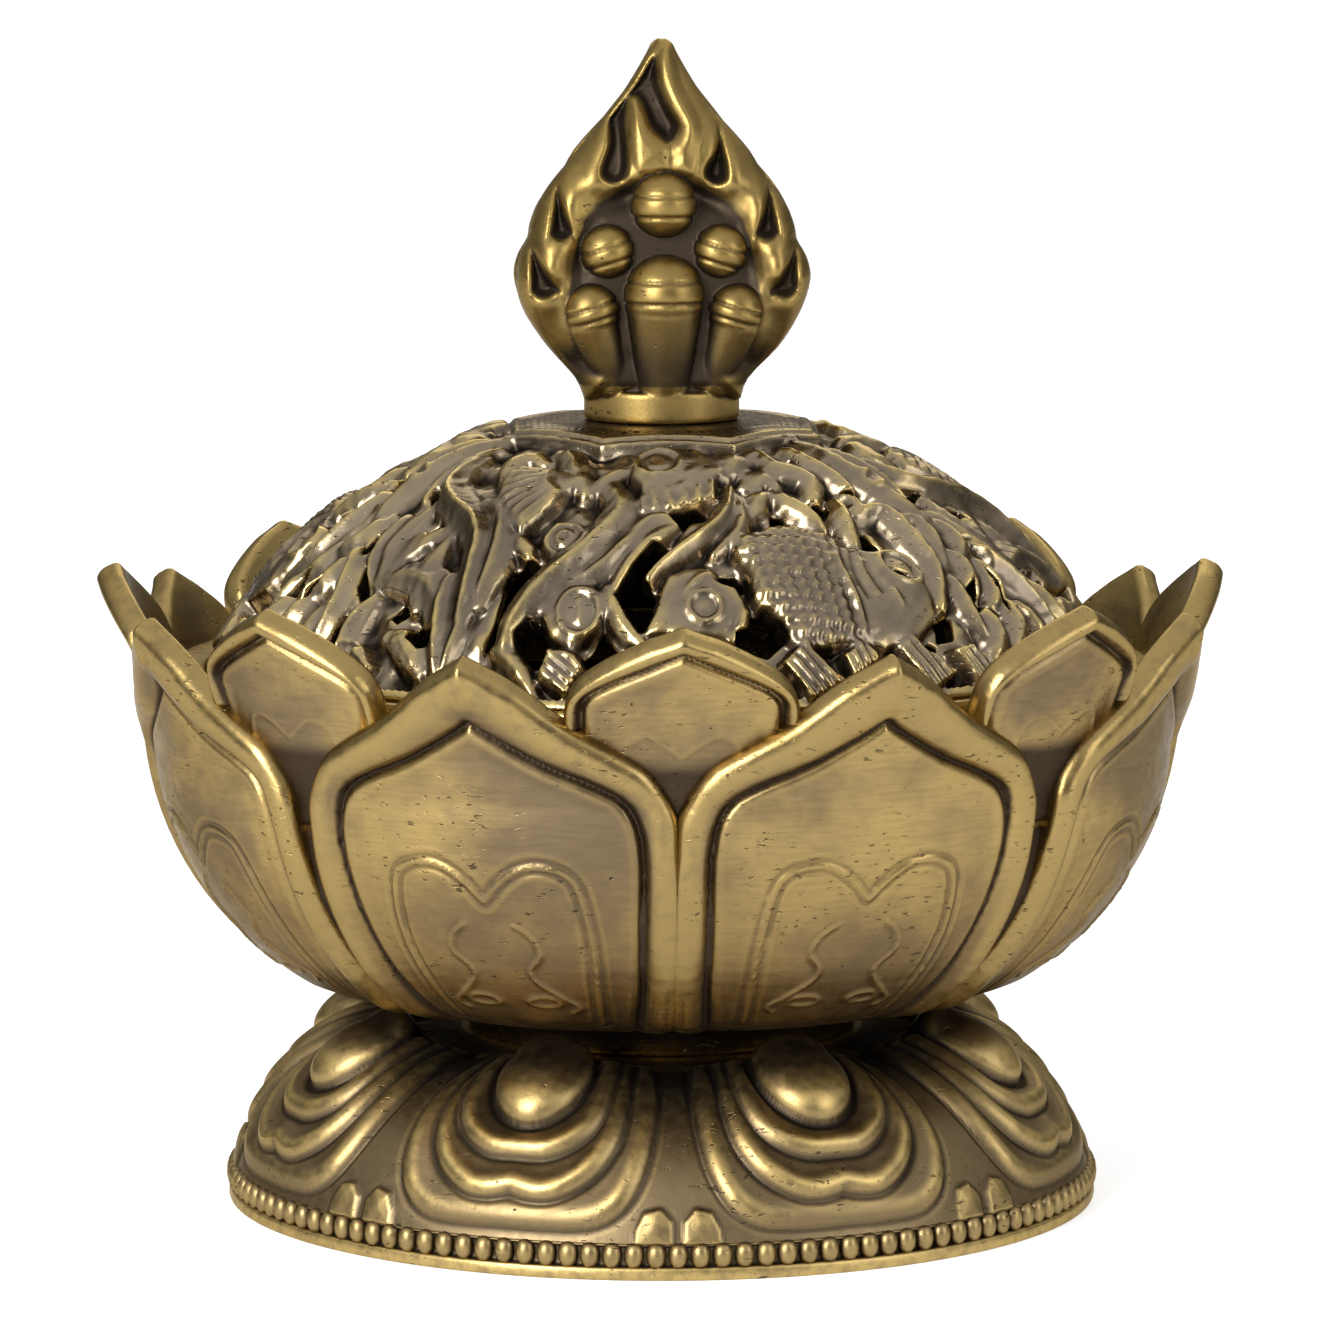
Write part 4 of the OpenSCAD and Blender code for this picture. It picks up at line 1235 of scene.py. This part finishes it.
def camera():
    """The photograph's viewing angle: a long lens, slightly above and left of the front."""
    distance, elevation, azimuth, aim_height = 0.600, math.radians(7.39), math.radians(-2.11), 0.0477
    back = Vector((math.sin(azimuth) * math.cos(elevation), -math.cos(azimuth) * math.cos(elevation),
                   math.sin(elevation)))
    data = bpy.data.cameras.new("camera")
    data.sensor_width = 36
    data.lens = 185
    data.shift_x = -0.0024
    data.clip_start, data.clip_end = 0.05, 40
    eye = bpy.data.objects.new("camera", data)
    eye.location = Vector((0, 0, aim_height)) + back * distance
    eye.rotation_mode = "QUATERNION"
    eye.rotation_quaternion = (-back).to_track_quat("-Z", "Y")
    bpy.context.scene.collection.objects.link(eye)
    bpy.context.scene.camera = eye


# ---------------------------------------------------------------- the burner

STEP = 0.22
LID_STEP = 0.19
FINIAL_STEP = 0.16

SHADE = (0.13, 0.082, 0.038)
PIT_COLOUR = (0.03, 0.022, 0.015)
GRAZING_TINT = (0.6, 0.56, 0.5)
brass = cast_metal(
    "antique_brass",
    body=(0.165, 0.12, 0.067), warm=(0.36, 0.253, 0.096), bright=(0.3, 0.212, 0.08),
    dark=(0.05, 0.035, 0.023), shade=SHADE,
    rough=0.35, edges=(0.15, 0.7), recesses=(-0.01, -0.34), brushing=0.2, keen=0.4,
)
foot_brass = cast_metal(
    "foot_brass",
    body=(0.14, 0.108, 0.07), warm=(0.22, 0.165, 0.086), bright=(0.47, 0.34, 0.13),
    dark=(0.03, 0.023, 0.017), shade=(0.16, 0.115, 0.06),
    rough=0.42, edges=(0.06, 0.42), recesses=(-0.05, -0.4), brushing=0.1, keen=0.5,
)
bronze = cast_metal(
    "aged_bronze",
    body=(0.155, 0.123, 0.09), warm=(0.255, 0.203, 0.136), bright=(0.46, 0.345, 0.135),
    dark=(0.018, 0.014, 0.011), shade=SHADE,
    rough=0.25, edges=(0.04, 0.5), recesses=(-0.04, -0.36), brushing=0.0, keen=0.22,
)
golden = cast_metal(
    "golden_brass",
    body=(0.2, 0.138, 0.05), warm=(0.26, 0.18, 0.058), bright=(0.31, 0.212, 0.066),
    dark=(0.04, 0.03, 0.021), shade=SHADE,
    rough=0.4, edges=(0.1, 0.6), recesses=(-0.04, -0.34), brushing=0.1, keen=0.6,
)

camera()
studio()
floor()
pedestal(foot_brass)
bowl(brass)
lid(bronze)
finial(golden)
heat_mat(fibre_felt("mineral_felt"))
paint_nodes(turned_brass("turned_brass"), "holder_plate", "stick_socket", "coil_prongs")
paint_nodes(plated_steel("plated_steel"), "stem_screw", "stem_washer", "finial_screw", "finial_washer")
